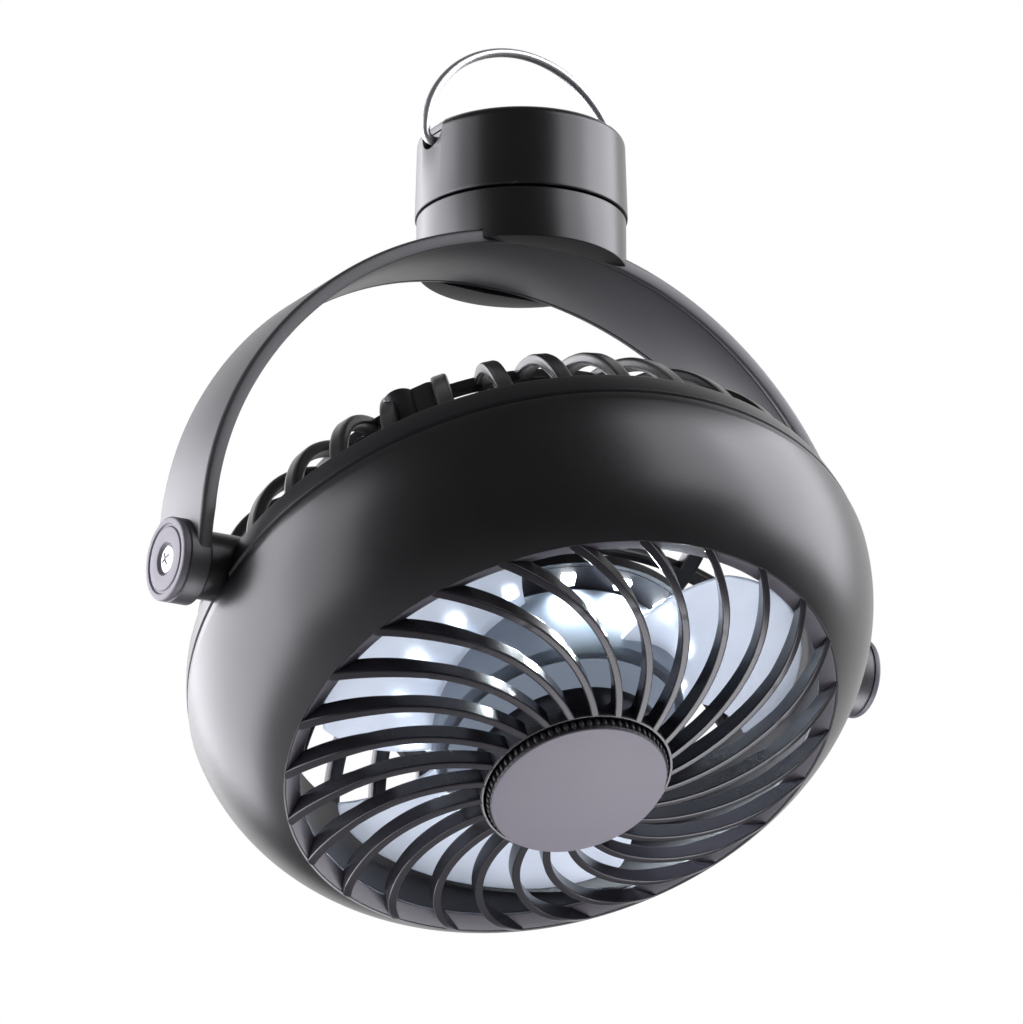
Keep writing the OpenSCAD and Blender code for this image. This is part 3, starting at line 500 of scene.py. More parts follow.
def sleeve(rows: int, count: int) -> list[tuple[int, ...]]:
    """The faces of a closed section that is repeated in rows of count points, with both ends shut."""
    faces = [tuple(range(count)), tuple(range((rows - 1) * count, rows * count))]
    for start in range(0, (rows - 1) * count, count):
        for k in range(count):
            here, there = start + k, start + (k + 1) % count
            faces.append((here, there, there + count, here + count))
    return faces


def prism(name: str, outline: Sequence[Pair], low: float, high: float, place: Matrix,
          lay: Callable[[float, float, float], Point] = lambda a, b, c: (a, b, c)) -> bpy.types.Object:
    """Extrudes an outline from low to high; lay puts its points' two numbers and the height in order."""
    points = [lay(a, b, c) for c in (low, high) for a, b in outline]
    return tidy_mesh(raw_mesh(name, points, sleeve(2, len(outline)), place))


def lathe(name: str, outline: Sequence[Pair], place: Matrix, runs: int,
          solid: bool = False) -> bpy.types.Object:
    """Turns an outline of radius and height about Z.

    Args:
        name: the piece's name.
        outline: points of radius and height, in millimetres.
        place: where the axis lies.
        runs: straight runs round the axis.
        solid: whether the outline is open, with both ends on the axis.

    Returns:
        The object.
    """
    count = len(outline)
    turns = [2 * math.pi * k / runs for k in range(runs)]
    points = [(r * math.cos(turn), r * math.sin(turn), s) for turn in turns for r, s in outline]
    faces = []
    for k in range(runs):
        here, there = k * count, (k + 1) % runs * count
        for i in range(count - 1 if solid else count):
            j = (i + 1) % count
            faces.append((here + i, here + j, there + j, there + i))
    return tidy_mesh(raw_mesh(name, points, faces, place))


def tube(name: str, path: Corners, r: float, place: Matrix, sides: int) -> bpy.types.Object:
    """Sweeps a round section along a path, with rounded ends.

    Args:
        name: the piece's name.
        path: points in millimetres.
        r: the radius in millimetres.
        place: the frame that the path is drawn in.
        sides: sides of the section.

    Returns:
        The object.
    """
    line = [Vector(p) for p in path]
    start, end = (line[0] - line[1]).normalized(), (line[-1] - line[-2]).normalized()

    def tip(centre: Vector, way: Vector, degrees: float) -> tuple[Vector, float]:
        """One ring of a rounded end."""
        wide, out = on_circle(r, degrees)
        return centre + way * (0.35 * out), wide + 1e-4

    rings = [tip(line[0], start, degrees) for degrees in (90, 67.5, 45, 22.5)]
    rings += [(p, r) for p in line]
    rings += [tip(line[-1], end, degrees) for degrees in (22.5, 45, 67.5, 90)]
    centres = [c for c, _ in rings]
    points = []
    normal = start.orthogonal().normalized()
    for i, (centre, size) in enumerate(rings):
        way = (centres[min(i + 1, len(centres) - 1)] - centres[max(i - 1, 0)]).normalized()
        normal = (normal - way * normal.dot(way)).normalized()
        other = way.cross(normal)
        for k in range(sides):
            turn = 2 * math.pi * k / sides
            points.append(centre + (normal * math.cos(turn) + other * math.sin(turn)) * size)
    return tidy_mesh(raw_mesh(name, points, sleeve(len(rings), sides), place))


def baked(piece: bpy.types.Object) -> bpy.types.Mesh:
    """A plain mesh of what a piece's modifiers make."""
    return bpy.data.meshes.new_from_object(piece.evaluated_get(bpy.context.evaluated_depsgraph_get()))


def settle(piece: bpy.types.Object) -> bpy.types.Object:
    """Applies a piece's modifiers to its mesh and returns the piece."""
    old, piece.data = piece.data, baked(piece)
    piece.modifiers.clear()
    bpy.data.meshes.remove(old)
    return tidy_mesh(piece, 32.0)


def cut(piece: bpy.types.Object, *tools: bpy.types.Object) -> bpy.types.Object:
    """Takes tools' shapes out of a piece, and the tools away.

    Args:
        piece: the object that is cut.
        tools: closed objects.

    Returns:
        The piece.
    """
    for tool in tools:
        cutter = piece.modifiers.new("cut", "BOOLEAN")
        cutter.operation, cutter.solver, cutter.object = "DIFFERENCE", "EXACT", tool
    settle(piece)
    for tool in tools:
        bpy.data.objects.remove(tool)
    return piece


def soften(piece: bpy.types.Object, width: float, angle: float = 50.0) -> bpy.types.Object:
    """Bevels a piece's sharp edges.

    Args:
        piece: the object.
        width: the bevel's width in millimetres.
        angle: edges sharper than this many degrees get it.

    Returns:
        The object.
    """
    rounder = piece.modifiers.new("ease", "BEVEL")
    rounder.width, rounder.segments, rounder.limit_method = width * MM, 3, "ANGLE"
    rounder.angle_limit = math.radians(angle)
    rounder.use_clamp_overlap = True
    return settle(piece)


def finish_piece(piece: bpy.types.Object, finish: Finish, body: Body, *nodes: str) -> bpy.types.Object:
    """Gives a piece its material, its body and the CAD nodes that it stands for.

    Args:
        piece: the object.
        finish: its finish.
        body: the body that it rides on.
        nodes: the CAD nodes that it replaces.

    Returns:
        The piece.
    """
    piece.data.materials.clear()
    piece.data.materials.append(finish.build())
    for face in piece.data.polygons:
        face.material_index = 0
    if nodes:
        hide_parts(*nodes)
    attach(piece, body.value)
    LOG.info("%s: %d faces on %s", piece.name, len(piece.data.polygons), body.value)
    return piece


def turned(name: str, outline: Corners, place: Matrix, runs: int, finish: Finish, body: Body, *nodes: str,
           solid: bool = False, ease: int = 4) -> bpy.types.Object:
    """Rounds an outline's corners, turns it about Z and finishes the piece.

    Args:
        name: the piece's name.
        outline: points of radius, height and optional rounding, in millimetres.
        place: where the axis lies.
        runs: straight runs round the axis.
        finish: its finish.
        body: the body that it rides on.
        nodes: the CAD nodes that it replaces.
        solid: whether the outline is open, with both ends on the axis.
        ease: straight runs in each rounding.

    Returns:
        The piece.
    """
    piece = lathe(name, eased(outline, ease, not solid), place, runs, solid)
    return finish_piece(piece, finish, body, *nodes)


def add_lamp(name: str, kind: str, place: Matrix, **settings: object) -> bpy.types.Object:
    """Adds a lamp.

    Args:
        name: its name.
        kind: its type.
        place: where it stands and what its back looks to; its scale doesn't count.
        settings: the light's properties.

    Returns:
        The lamp.
    """
    data = bpy.data.lights.new(name, kind)
    for key, value in settings.items():
        setattr(data, key, value)
    made = bpy.data.objects.new(name, data)
    made.matrix_world = Matrix.LocRotScale(place.to_translation(), place.to_quaternion(), None)
    return link(made)


# ---- forms that follow a rule -------------------------------------------------------------------


class FormTree:
    """A Geometry Nodes tree with named sizes, which makes one plain mesh."""

    def __init__(self, name: str, sizes: dict[str, float]) -> None:
        """Starts the tree.

        Args:
            name: the tree's name.
            sizes: its inputs and their values, first how many copies; a whole number makes a
                whole-number input.
        """
        self.name = name
        self.sizes = sizes
        self.tree = bpy.data.node_groups.new(name, "GeometryNodeTree")
        self.maker = NodeMaker(self.tree)
        face = self.tree.interface
        face.new_socket("Geometry", in_out="OUTPUT", socket_type="NodeSocketGeometry")
        for key, value in sizes.items():
            kind = "NodeSocketInt" if isinstance(value, int) else "NodeSocketFloat"
            face.new_socket(key, in_out="INPUT", socket_type=kind)
        entry = self.maker.node("NodeGroupInput")
        self.inputs = [Sock(self.maker, entry.outputs[key]) for key in sizes]

    def skin(self, along: int, around: int) -> tuple[bpy.types.NodeSocket, Sock, Sock]:
        """Adds a sheet of points, to be bent into a closed form.

        Args:
            along: points along it.
            around: points round it.

        Returns:
            The sheet and its two parameters, both from 0 to 1.
        """
        grid = self.maker.node(
            "GeometryNodeMeshGrid", Size_X=1.0, Size_Y=1.0, Vertices_X=along, Vertices_Y=around)
        spot = self.maker.node("GeometryNodeInputPosition")
        parts = self.maker.node("ShaderNodeSeparateXYZ", Vector=spot.outputs[0]).outputs
        return grid.outputs["Mesh"], Sock(self.maker, parts[0]) + 0.5, Sock(self.maker, parts[1]) + 0.5

    def ring_of(self, form: bpy.types.NodeSocket) -> bpy.types.NodeSocket:
        """Repeats a form round the axis.

        Args:
            form: the form.

        Returns:
            The copies, as one mesh.
        """
        count = self.inputs[0]
        points = self.maker.node("GeometryNodeMeshLine", Count=count, Offset=(0.0, 0.0, 0.0))
        index = Sock(self.maker, self.maker.node("GeometryNodeInputIndex").outputs[0])
        spin = self.maker.node("ShaderNodeCombineXYZ", Z=index * (2 * math.pi) / count)
        turn = self.maker.node("FunctionNodeEulerToRotation", Euler=spin.outputs[0])
        copies = self.maker.node(
            "GeometryNodeInstanceOnPoints", Points=points.outputs[0], Instance=form, Rotation=turn.outputs[0])
        return self.maker.node("GeometryNodeRealizeInstances", Geometry=copies.outputs[0]).outputs[0]

    def make(self, sheet: bpy.types.NodeSocket, spot: tuple[Value, Value, Value], piece_name: str,
             finish: Finish, place: Matrix) -> bpy.types.Object:
        """Bends a sheet, closes its seam, repeats it, ends the tree and makes a plain mesh of it.

        Args:
            sheet: the sheet.
            spot: where each of its points goes, in millimetres.
            piece_name: the piece's name.
            finish: the finish that the tree sets.
            place: the matrix from millimetres to the part's metres.

        Returns:
            The object.
        """
        goal = self.maker.node("ShaderNodeCombineXYZ", X=spot[0], Y=spot[1], Z=spot[2])
        moved = self.maker.node("GeometryNodeSetPosition", Geometry=sheet, Position=goal.outputs[0])
        shut = self.maker.node("GeometryNodeMergeByDistance", Geometry=moved.outputs[0], Distance=0.002)
        dressed = self.maker.node(
            "GeometryNodeSetMaterial", Geometry=self.ring_of(shut.outputs[0]), Material=finish.build())
        self.maker.node("NodeGroupOutput", Geometry=dressed.outputs[0])
        holder = link(bpy.data.objects.new(piece_name + "_holder", bpy.data.meshes.new(piece_name + "_seed")))
        maker = holder.modifiers.new(self.name, "NODES")
        maker.node_group = self.tree
        for item in self.tree.interface.items_tree:
            if item.item_type == "SOCKET" and item.in_out == "INPUT":
                maker[item.identifier] = self.sizes[item.name]
        plain = baked(holder)
        bpy.data.objects.remove(holder)
        plain.name = piece_name
        plain.transform(place)
        return tidy_mesh(link(bpy.data.objects.new(piece_name, plain)), 40.0)


def end_caps(u: Sock, steep: float) -> Sock:
    """Falls from 1 to 0 at both ends of a form, where u runs from 0 to 1."""
    return (u.at_most(1.0 - u) * steep).clamp()


def squircle(turn: Sock, power: float) -> list[Sock]:
    """A rounded square of half side 1; its power runs from 1, round, towards 0, square."""
    angle = turn * (2 * math.pi)
    return [wave.sign() * wave.absolute().power(power) for wave in (angle.cos(), angle.sin())]


def rounded_box(turn: Sock, wide: Value, deep: Value, corner: Value) -> tuple[Sock, Sock]:
    """A rounded rectangle's outline, with five points at each corner and none between.

    Args:
        turn: the share of the way round, in steps of a twentieth.
        wide: half of its width.
        deep: half of its depth.
        corner: the corners' radius.

    Returns:
        The two coordinates.
    """
    quarter = (turn * 4.0 + 0.001).floor()
    step = (turn * 4.0 - quarter) * 5.0
    angle = (quarter + ((step - 1.0) * 0.5).clamp()) * (math.pi / 2)
    slide = (step - 3.0).clamp() * 0.3 - (1.0 - step).clamp() * 0.3
    middle = (quarter + 0.5) * (math.pi / 2)
    x = middle.cos().sign() * (wide - corner) + angle.cos() * corner - angle.sin() * slide
    y = middle.sin().sign() * (deep - corner) + angle.sin() * corner + angle.cos() * slide
    return x, y


# ---- the head's front ---------------------------------------------------------------------------


@dataclass
class FrontShell:
    """The front half of the head, a deep rounded bowl that turns in at the grille's rim."""

    seam_r: float = 92.0
    seam_s: float = 8.1
    bulge_r: float = 93.13
    bulge_s: float = 11.0
    bulge_turn: float = 4.83
    shoulder_r: float = 47.5
    centre_r: float = 45.8
    centre_s: float = 7.0
    wall: float = 2.4
    rim_r: float = 74.9
    lip_r: float = 74.3
    post_ring: float = 81.0
    post_turn: float = 48.0
    post_end: float = 33.0

    def rim_s(self) -> float:
        """How far the rim stands in front of the tilt axis."""
        return self.centre_s + math.sqrt(self.shoulder_r**2 - (self.rim_r - self.centre_r) ** 2)

    def build(self) -> None:
        """Turns the shell and its inner screw posts."""
        rim_s = self.rim_s()
        stop = math.degrees(math.acos((self.rim_r - self.centre_r) / self.shoulder_r))
        inner = self.shoulder_r - self.wall
        under = rim_s - 0.5 - self.wall
        in_stop = math.degrees(math.asin((under - self.centre_s) / inner))
        in_start = math.degrees(math.asin((self.seam_s - self.centre_s) / inner))
        outline = eased([
            (self.seam_r - 1.1, self.seam_s), (self.seam_r, self.seam_s, 0.1),
            (self.seam_r + 0.75, self.seam_s + 0.5, 0.35), (self.bulge_r, self.bulge_s)], 4, False)
        outline += arc(self.centre_r, self.centre_s, self.shoulder_r, self.bulge_turn, stop, 64)[1:]
        lip = [(self.rim_r, rim_s), (self.lip_r, rim_s - 0.2, 0.25), (self.lip_r, under)]
        outline += eased(lip, 4, False)[1:]
        outline += arc(self.centre_r, self.centre_s, inner, in_stop, in_start, 40)
        finish_piece(lathe("front_shell_bowl", outline, HEAD, 288), SHELL, Body.HEAD, "front_shell")
        for i in range(4):
            x, y = on_circle(self.post_ring, self.post_turn + 90 * i)
            turned(f"shell_post_{i}", [
                (1.2, self.seam_s), (3.6, self.seam_s), (3.6, self.post_end), (1.2, self.post_end)],
                HEAD @ Matrix.Translation((x, y, 0)), 32, SHELL, Body.HEAD)


@dataclass
class SpiralGrille:
    """The spiral ribs, the ring round the dial, the air duct and the pale ledge behind the rim."""

    count: int = 25
    width: float = 2.1
    corner: float = 0.28
    curve_r: float = 46.3
    phase: float = -10.3
    cone_r: float = 26.0
    cone_s: float = 59.2
    cone_fall: float = 0.2387
    dome_from: float = 57.0
    dome_curve: float = 53.0
    dome_centre: float = 46.36
    dome_drop: float = 0.22
    back_s: float = 54.3
    back_fall: float = 0.2194
    back_dome_s: float = 47.5
    back_dome_fall: float = 0.3757
    back_end: float = 42.3
    hub_r: float = 25.9
    hub_s: float = 59.3
    hub_low: float = 49.0
    hub_wall: float = 1.0
    hub_floor: float = 2.2
    bore_r: float = 4.0
    rim_r: float = 74.9
    duct_r: float = 70.0
    duct_h: float = 30.0
    ledge_gap: float = 0.65

    def ribs(self) -> bpy.types.Object:
        """Bends one rib by rule and repeats it round the axis.

        Returns:
            The ribs.
        """
        form = FormTree("spiral_ribs", {
            "Count": self.count, "Width": self.width, "Curve radius": self.curve_r,
            "Start radius": self.hub_r - 0.8, "End radius": self.rim_r + 0.1,
            "Phase": math.radians(self.phase)})
        _, width, rho, start, end, phase = form.inputs
        sheet, u, v = form.skin(72, 21)
        r = start + (end - start) * (u * 1.04 - 0.02).clamp()
        angle = form.maker.maths("ARCSINE", r / (rho * 2.0)) + phase
        across, level = rounded_box(v, width * 0.5, 1.0, self.corner)
        shut = end_caps(u, 60.0)
        centre = phase + math.pi / 2
        cx, cy = rho * centre.cos(), rho * centre.sin()
        widen = 1.0 + across * shut / rho
        x = cx + (r * angle.cos() - cx) * widen
        y = cy + (r * angle.sin() - cy) * widen
        r = (x * x + y * y).root()
        outer = r.over(self.dome_from)
        cone = self.cone_s - (r - self.cone_r) * self.cone_fall
        reach = r - self.dome_centre
        dome = (self.dome_curve**2 - reach * reach).root() - self.dome_drop
        top = cone + (dome - cone) * outer
        back = self.back_s - (r - self.cone_r) * self.back_fall
        back_dome = self.back_dome_s - (r - self.dome_from) * self.back_dome_fall
        low = (back + (back_dome - back) * outer).at_least(self.back_end)
        half = (top - low) * 0.5
        z = (top + low) * 0.5 + (level + level.sign() * (half - 1.0)) * shut
        return form.make(sheet, (x, y, z), "grille_ribs", RIB, HEAD)

    def build(self) -> None:
        """Makes the ribs, the hub ring, the duct and the ledge."""
        finish_piece(self.ribs(), RIB, Body.HEAD, "grille")
        low, inner = self.hub_low, self.hub_r - self.hub_wall
        floor = low + self.hub_floor
        turned("grille_hub", [
            (self.bore_r, low), (self.hub_r, low, 0.4), (self.hub_r, self.hub_s, 0.35),
            (inner, self.hub_s, 0.35), (inner, floor, 0.4), (self.bore_r, floor)],
            HEAD, 160, RIB, Body.HEAD)
        top = FrontShell().rim_s() - 0.5
        duct, end = self.duct_r, top - self.duct_h
        turned("air_duct", [
            (duct, top - 2.45, 0.1), (duct, end, 0.3), (duct + 2, end, 0.3), (duct + 2, top - 4.0),
            (duct + 4, top - 4.0), (duct + 4, top - 2.45)], HEAD, 240, INNER, Body.HEAD)
        edge = self.rim_r - self.ledge_gap
        turned("grille_ledge", [
            (edge, top + 0.25, 0.05), (duct, top - 1.5, 0.25), (duct, top - 2.3, 0.1),
            (edge, top - 2.3, 0.1)], HEAD, 240, LEDGE, Body.HEAD)


@dataclass
class Dial:
    """The turning dial in the grille's middle, with a fine knurl and a plain face."""

    radius: float = 24.5
    front_s: float = 62.0
    skirt_s: float = 52.0
    stem_s: float = 46.0
    stem_r: float = 3.0
    ridges: int = 72
    ridge_r: float = 0.72

    def knurl(self) -> bpy.types.Object:
        """Repeats one rounded ridge round the dial's side.

        Returns:
            The ridges.
        """
        form = FormTree("dial_knurl", {
            "Count": self.ridges, "Radius": self.radius - 0.75, "Ridge": self.ridge_r,
            "Low": self.skirt_s + 0.1, "High": self.front_s - 0.45})
        _, radius, ridge, low, high = form.inputs
        sheet, u, v = form.skin(8, 13)
        shut = end_caps(u, 7.0)
        size = ridge * (0.45 + 0.55 * shut)
        ends = shut.over(0.01)
        angle = v * (2 * math.pi)
        spot = (radius + angle.cos() * size * ends, angle.sin() * size * ends, low + (high - low) * u)
        return form.make(sheet, spot, "dial_knurl", KNURL, HEAD)

    def build(self) -> None:
        """Makes the dial's body, knurl and face."""
        ridges = self.knurl()
        side, front = self.radius - 0.7, self.front_s
        turned("dial_body", [
            (0.0, front - 0.9), (side - 0.6, front - 0.9), (side - 0.25, front - 0.25, 0.3),
            (side, front - 0.9, 0.3), (side, self.skirt_s, 0.3), (side - 2.3, self.skirt_s, 0.3),
            (side - 2.3, front - 4.0), (self.stem_r, front - 4.0), (self.stem_r, self.stem_s, 0.3),
            (0.0, self.stem_s)], HEAD, 160, KNURL, Body.DIAL, "dial", solid=True)
        finish_piece(ridges, KNURL, Body.DIAL)
        edge = self.radius - 0.95
        turned("dial_face_disc", [
            (0.0, front), (edge, front, 0.25), (edge, front - 0.8, 0.1), (0.0, front - 0.8)],
            HEAD, 160, DIAL_FACE, Body.DIAL, "dial_face", solid=True)


# ---- rotor and light ----------------------------------------------------------------------------


@dataclass
class Rotor:
    """The frosted rotor: a tapered hub with a raised rim, and three broad twisted blades."""

    count: int = 3
    hub_r: float = 36.0
    rim_r: float = 33.3
    back_s: float = 23.6
    face_s: float = 40.8
    rim_h: float = 3.7
    wall: float = 2.0
    bore_r: float = 1.6
    core_r: float = 4.0
    tip_r: float = 68.5
    blade_back: float = 24.0
    blade_h: float = 15.0
    chord: float = 8.0
    sweep: float = 72.0
    lean: float = 16.0
    phase: float = 10.5
    corner: float = 8.0
    lip: float = 0.9

    def blades(self) -> bpy.types.Object:
        """Bends one blade by rule and repeats it round the axis.

        Returns:
            The blades.
        """
        form = FormTree("twisted_blades", {
            "Count": self.count, "Start radius": self.rim_r - 1.0, "Tip radius": self.tip_r,
            "Sweep": math.radians(self.sweep), "Lean": math.radians(self.lean), "Depth": self.blade_h,
            "Chord": self.chord, "Back": self.blade_back, "Phase": math.radians(self.phase),
            "Corner": self.corner})
        _, start, tip, sweep, lean, depth, chord, back, phase, corner = form.inputs
        sheet, u, v = form.skin(64, 73)
        turn = v * (2 * math.pi)
        across, side = turn.cos(), turn.sin()
        thick = side.sign() * side.absolute().power(0.3)
        bent = (across.absolute() * 1.684 - 0.818).clamp()
        far = tip - corner * (1.0 - (1.0 - bent * bent).root())
        near = start + 1.7 - across * 1.2
        edge = ((u - 0.9) * 10.0).clamp() * (math.pi / 2)
        r = near + (far - self.lip - near) * (u / 0.9).clamp() + edge.sin() * self.lip
        share = (r - start) / (tip + 1.0 - start)
        half = depth / (sweep * r) * chord * 0.5
        z = back + depth * 0.5 + across * (depth * 0.5 - half * 0.6) + thick * half * edge.cos()
        reach = sweep * 0.5 + chord * 0.35 / r
        angle = phase + sweep * 0.5 - lean * share * share + across * reach
        return form.make(sheet, (r * angle.cos(), r * angle.sin(), z), "rotor_blades", BLADE, HEAD)

    def build(self) -> None:
        """Makes the hub and the blades."""
        finish_piece(self.blades(), BLADE, Body.ROTOR, "fan_rotor")
        top, wall = self.face_s + self.rim_h, self.wall
        taper = (self.hub_r - self.rim_r) / (top - self.back_s)
        face_r, under = self.rim_r - wall, self.face_s - wall
        # The hub wears the darker copy of the blades' frosted plastic, which paints shade on it.
        turned("rotor_hub", [
            (self.bore_r, self.face_s), (face_r, self.face_s, 1.2), (face_r, top, 0.5),
            (self.rim_r, top, 0.7), (self.hub_r, self.back_s, 0.4), (self.hub_r - wall, self.back_s, 0.4),
            (self.hub_r - wall - taper * (under - self.back_s), under, 1.5), (self.core_r, under, 0.5),
            (self.core_r, self.back_s, 0.4), (self.bore_r, self.back_s)],
            HEAD, 192, SHADED_HUB, Body.ROTOR, ease=5)


@dataclass
class LightRing:
    """The ring of light-emitting diodes round the motor, and the light that falls in from the room."""

    count: int = 15
    ring_r: float = 38.3
    face_s: float = 21.6
    turn: float = 11.0
    lens_r: float = 1.45
    lens_h: float = 1.3
    lamp_rise: float = 1.9
    lamp_watts: float = 0.16
    lamp_spread: float = 165.0
    lamp_colour: Point = (0.84, 0.93, 1.0)
    fill_r: float = 68.0
    fill_s: float = 41.5
    fill_level: float = 1.1
    fill_colour: Point = (0.93, 0.96, 1.0)

    def domes(self) -> bpy.types.Object:
        """Bends one lens by rule and repeats it round the axis.

        Returns:
            The lenses.
        """
        form = FormTree("led_lenses", {
            "Count": self.count, "Ring radius": self.ring_r, "Size": self.lens_r, "Height": self.lens_h,
            "Turn": math.radians(self.turn)})
        _, ring_r, size, height, turn = form.inputs
        sheet, u, v = form.skin(10, 25)
        fall = u * (math.pi / 2)
        a, b = squircle(v, 0.75)
        reach = size * fall.cos()
        px, py = ring_r + a * reach, b * reach
        cos_t, sin_t = turn.cos(), turn.sin()
        z = self.face_s + 0.5 + height * fall.sin() * 0.7
        spot = (px * cos_t - py * sin_t, px * sin_t + py * cos_t, z)
        return form.make(sheet, spot, "led_domes", LENS, HEAD)

    def build(self) -> None:
        """Makes the lens domes and the lamps that stand for their light."""
        finish_piece(self.domes(), LENS, Body.HEAD)
        for i in range(self.count):
            x, y = on_circle(self.ring_r, self.turn + 360 / self.count * i)
            place = HEAD @ Matrix.Translation((x, y, self.face_s + self.lamp_rise))
            lamp = add_lamp(
                f"led_{i}", "SPOT", place @ Matrix.Rotation(math.pi, 4, "X"), energy=self.lamp_watts,
                shadow_soft_size=0.002, color=self.lamp_colour, spot_size=math.radians(self.lamp_spread),
                spot_blend=0.6)
            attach(lamp, Body.HEAD.value)
        self.fill()

    def fill(self) -> None:
        """Adds the room's soft light that falls through the grille onto the blades."""
        r = self.fill_r * MM
        lamp = add_lamp(
            "grille_fill", "AREA", HEAD @ Matrix.Translation((0, 0, self.fill_s)), shape="DISK", size=2 * r,
            energy=math.pi * math.pi * r**2 * self.fill_level, color=self.fill_colour)
        lamp.visible_camera = lamp.visible_glossy = False
        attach(lamp, Body.HEAD.value)


# ---- the head's rear ----------------------------------------------------------------------------


@dataclass
class RearCage:
    """The rear half of the head: a domed cage of radial bars, with a band, a ring, bosses and a plate."""

    rim_bars: int = 36
    bar_w: float = 4.5
    inner_bars: int = 18
    inner_w: float = 3.4
    corner: float = 0.9
    centre_r: float = 42.0
    centre_s: float = 14.8
    curve_r: float = 51.3
    depth: float = 3.3
    flush: float = 0.15
    band_s: float = 0.7
    band_top: float = 7.3
    band_r: float = 88.6
    groove_r: float = 90.5
    seam_r: float = 92.0
    bars_start: float = -100.0
    bars_end: float = -13.5
    ring_r: float = 60.0
    ring_w: float = 4.0
    plate_r: float = 34.0
    plate_s: float = -37.1
    boss_r: float = 81.0
    boss_turn: float = 48.0
    web_half: float = 2.6
    web_reach: float = 7.9
    lug_bore: float = 5.05
    lug_r: float = 9.0
    lug_from: float = 84.6
    lug_to: float = 98.1

    def angle_at(self, r: float) -> float:
        """The curve's angle, in degrees, where the bars' middle line has that radius."""
        middle = self.curve_r - self.flush - self.depth / 2
        return -math.degrees(math.acos((r - self.centre_r) / middle))

    def bars(self, name: str, count: int, width: float, low: float, high: float) -> None:
        """Bends one bar along the cage's curve and repeats it.

        Args:
            name: the piece's name.
            count: how many bars.
            width: a bar's width.
            low: the curve's angle where the bar starts; under -90 it runs on flat to the plate.
            high: the curve's angle where it ends.
        """
        form = FormTree(name + "_rule", {
            "Count": count, "Width": width, "Depth": self.depth, "Centre radius": self.centre_r,
            "Centre height": self.centre_s, "Curve": self.curve_r - self.flush, "Low": low, "High": high,
            "Run": self.centre_r - self.plate_r + 2.0, "Corner": self.corner})
        _, wide, depth, centre_r, centre_s, curve, start, end, run, corner = form.inputs
        sheet, u, v = form.skin(64, 21)
        turn = start + (end - start) * u
        angle = turn.at_least(-90.0) * (math.pi / 180)
        flat = (-90.0 - turn).at_least(0.0) / 10.0
        shut = end_caps(u, 60.0)
        across, deep = rounded_box(v, wide * 0.5, depth * 0.5, corner)
        mid = curve - depth * 0.5 + deep * shut
        radial = centre_r + angle.cos() * mid - flat * run
        height = centre_s + angle.sin() * mid - flat * 0.6
        finish_piece(form.make(sheet, (radial, across * shut, height), name, CAGE, HEAD), CAGE, Body.HEAD)

    def boss(self, spot: Matrix, mark: int) -> None:
        """Makes one screw boss and the web that ties it to a bar.

        Args:
            spot: the boss's own frame, its x outwards.
            mark: its number.
        """
        turned(f"cage_boss_{mark}", [
            (1.7, 8.0), (1.7, -8.0, 0.1), (3.0, -8.0, 0.1), (3.0, -15.5, 0.4), (4.6, -15.5, 0.7), (4.6, 8.0)],
            spot, 64, CAGE, Body.HEAD)
        half = self.web_half
        ends = [(-half, -3.6), (half, -3.6)]
        ends += [on_circle(half, a, 0.0, -self.web_reach) for a in range(0, -181, -15)]
        web = prism(f"boss_web_{mark}", ends, -15.2, 7.8, spot)
        finish_piece(soften(web, 0.5), CAGE, Body.HEAD)

    def build(self) -> None:
        """Makes the band, the bars, the ring, the plate, the bosses and the side bosses."""
        start, stop = (-math.degrees(math.asin((self.centre_s - s) / self.curve_r))
                       for s in (self.band_s, self.band_top))
        curve = arc(self.centre_r, self.centre_s, self.curve_r, start, stop, 10)
        turned("cage_band", [
            (self.band_r, self.band_s, 0.4), (*curve[0], 0.3), *curve[1:-1], (*curve[-1], 0.2),
            (self.seam_r, 8.0, 0.1), (self.groove_r, 8.0), (self.groove_r, 10.1, 0.2),
            (self.band_r, 10.1, 0.2)], HEAD, 288, CAGE, Body.HEAD, "rear_shell")
        self.bars("cage_rim_bars", self.rim_bars, self.bar_w, self.angle_at(self.ring_r - 1.0), self.bars_end)
        self.bars("cage_inner_bars", self.inner_bars, self.inner_w, self.bars_start,
                  self.angle_at(self.ring_r + 1.0))
        outer, half = self.curve_r - self.flush, self.ring_w / 2
        lines = [[(r, self.centre_s - math.sqrt(reach**2 - (r - self.centre_r) ** 2))
                  for r in np.linspace(self.ring_r - half, self.ring_r + half, 7)][::order]
                 for reach, order in ((outer, 1), (outer - self.depth, -1))]
        section = [spot for line in lines for spot in ((*line[0], 0.8), *line[2:5], (*line[-1], 0.8))]
        turned("cage_ring", section, HEAD, 192, CAGE, Body.HEAD)
        low, high = self.plate_s, self.plate_s + self.depth
        turned("cage_plate", [
            (0.0, low), (26.0, low, 1.0), (27.0, low + 0.5, 0.5), (28.5, low + 0.5, 0.5), (29.5, low, 0.5),
            (self.plate_r, low, 0.8), (self.plate_r, high, 0.4), (0.0, high)],
            HEAD, 160, CAGE, Body.HEAD, solid=True)
        for i in range(4):
            turn = HEAD @ Matrix.Rotation(math.radians(self.boss_turn + 90 * i), 4, "Z")
            self.boss(turn @ Matrix.Translation((self.boss_r, 0, 0)), i)
        for side in (-1, 1):
            near, far = self.lug_from, self.lug_to
            turned("side_boss_" + side_mark(side), [
                (self.lug_bore, near), (self.lug_bore, far, 0.2), (self.lug_r, far, 0.5), (self.lug_r, near)],
                along_x(side, HEAD), 96, CAGE, Body.HEAD)


# ---- the yoke -----------------------------------------------------------------------------------


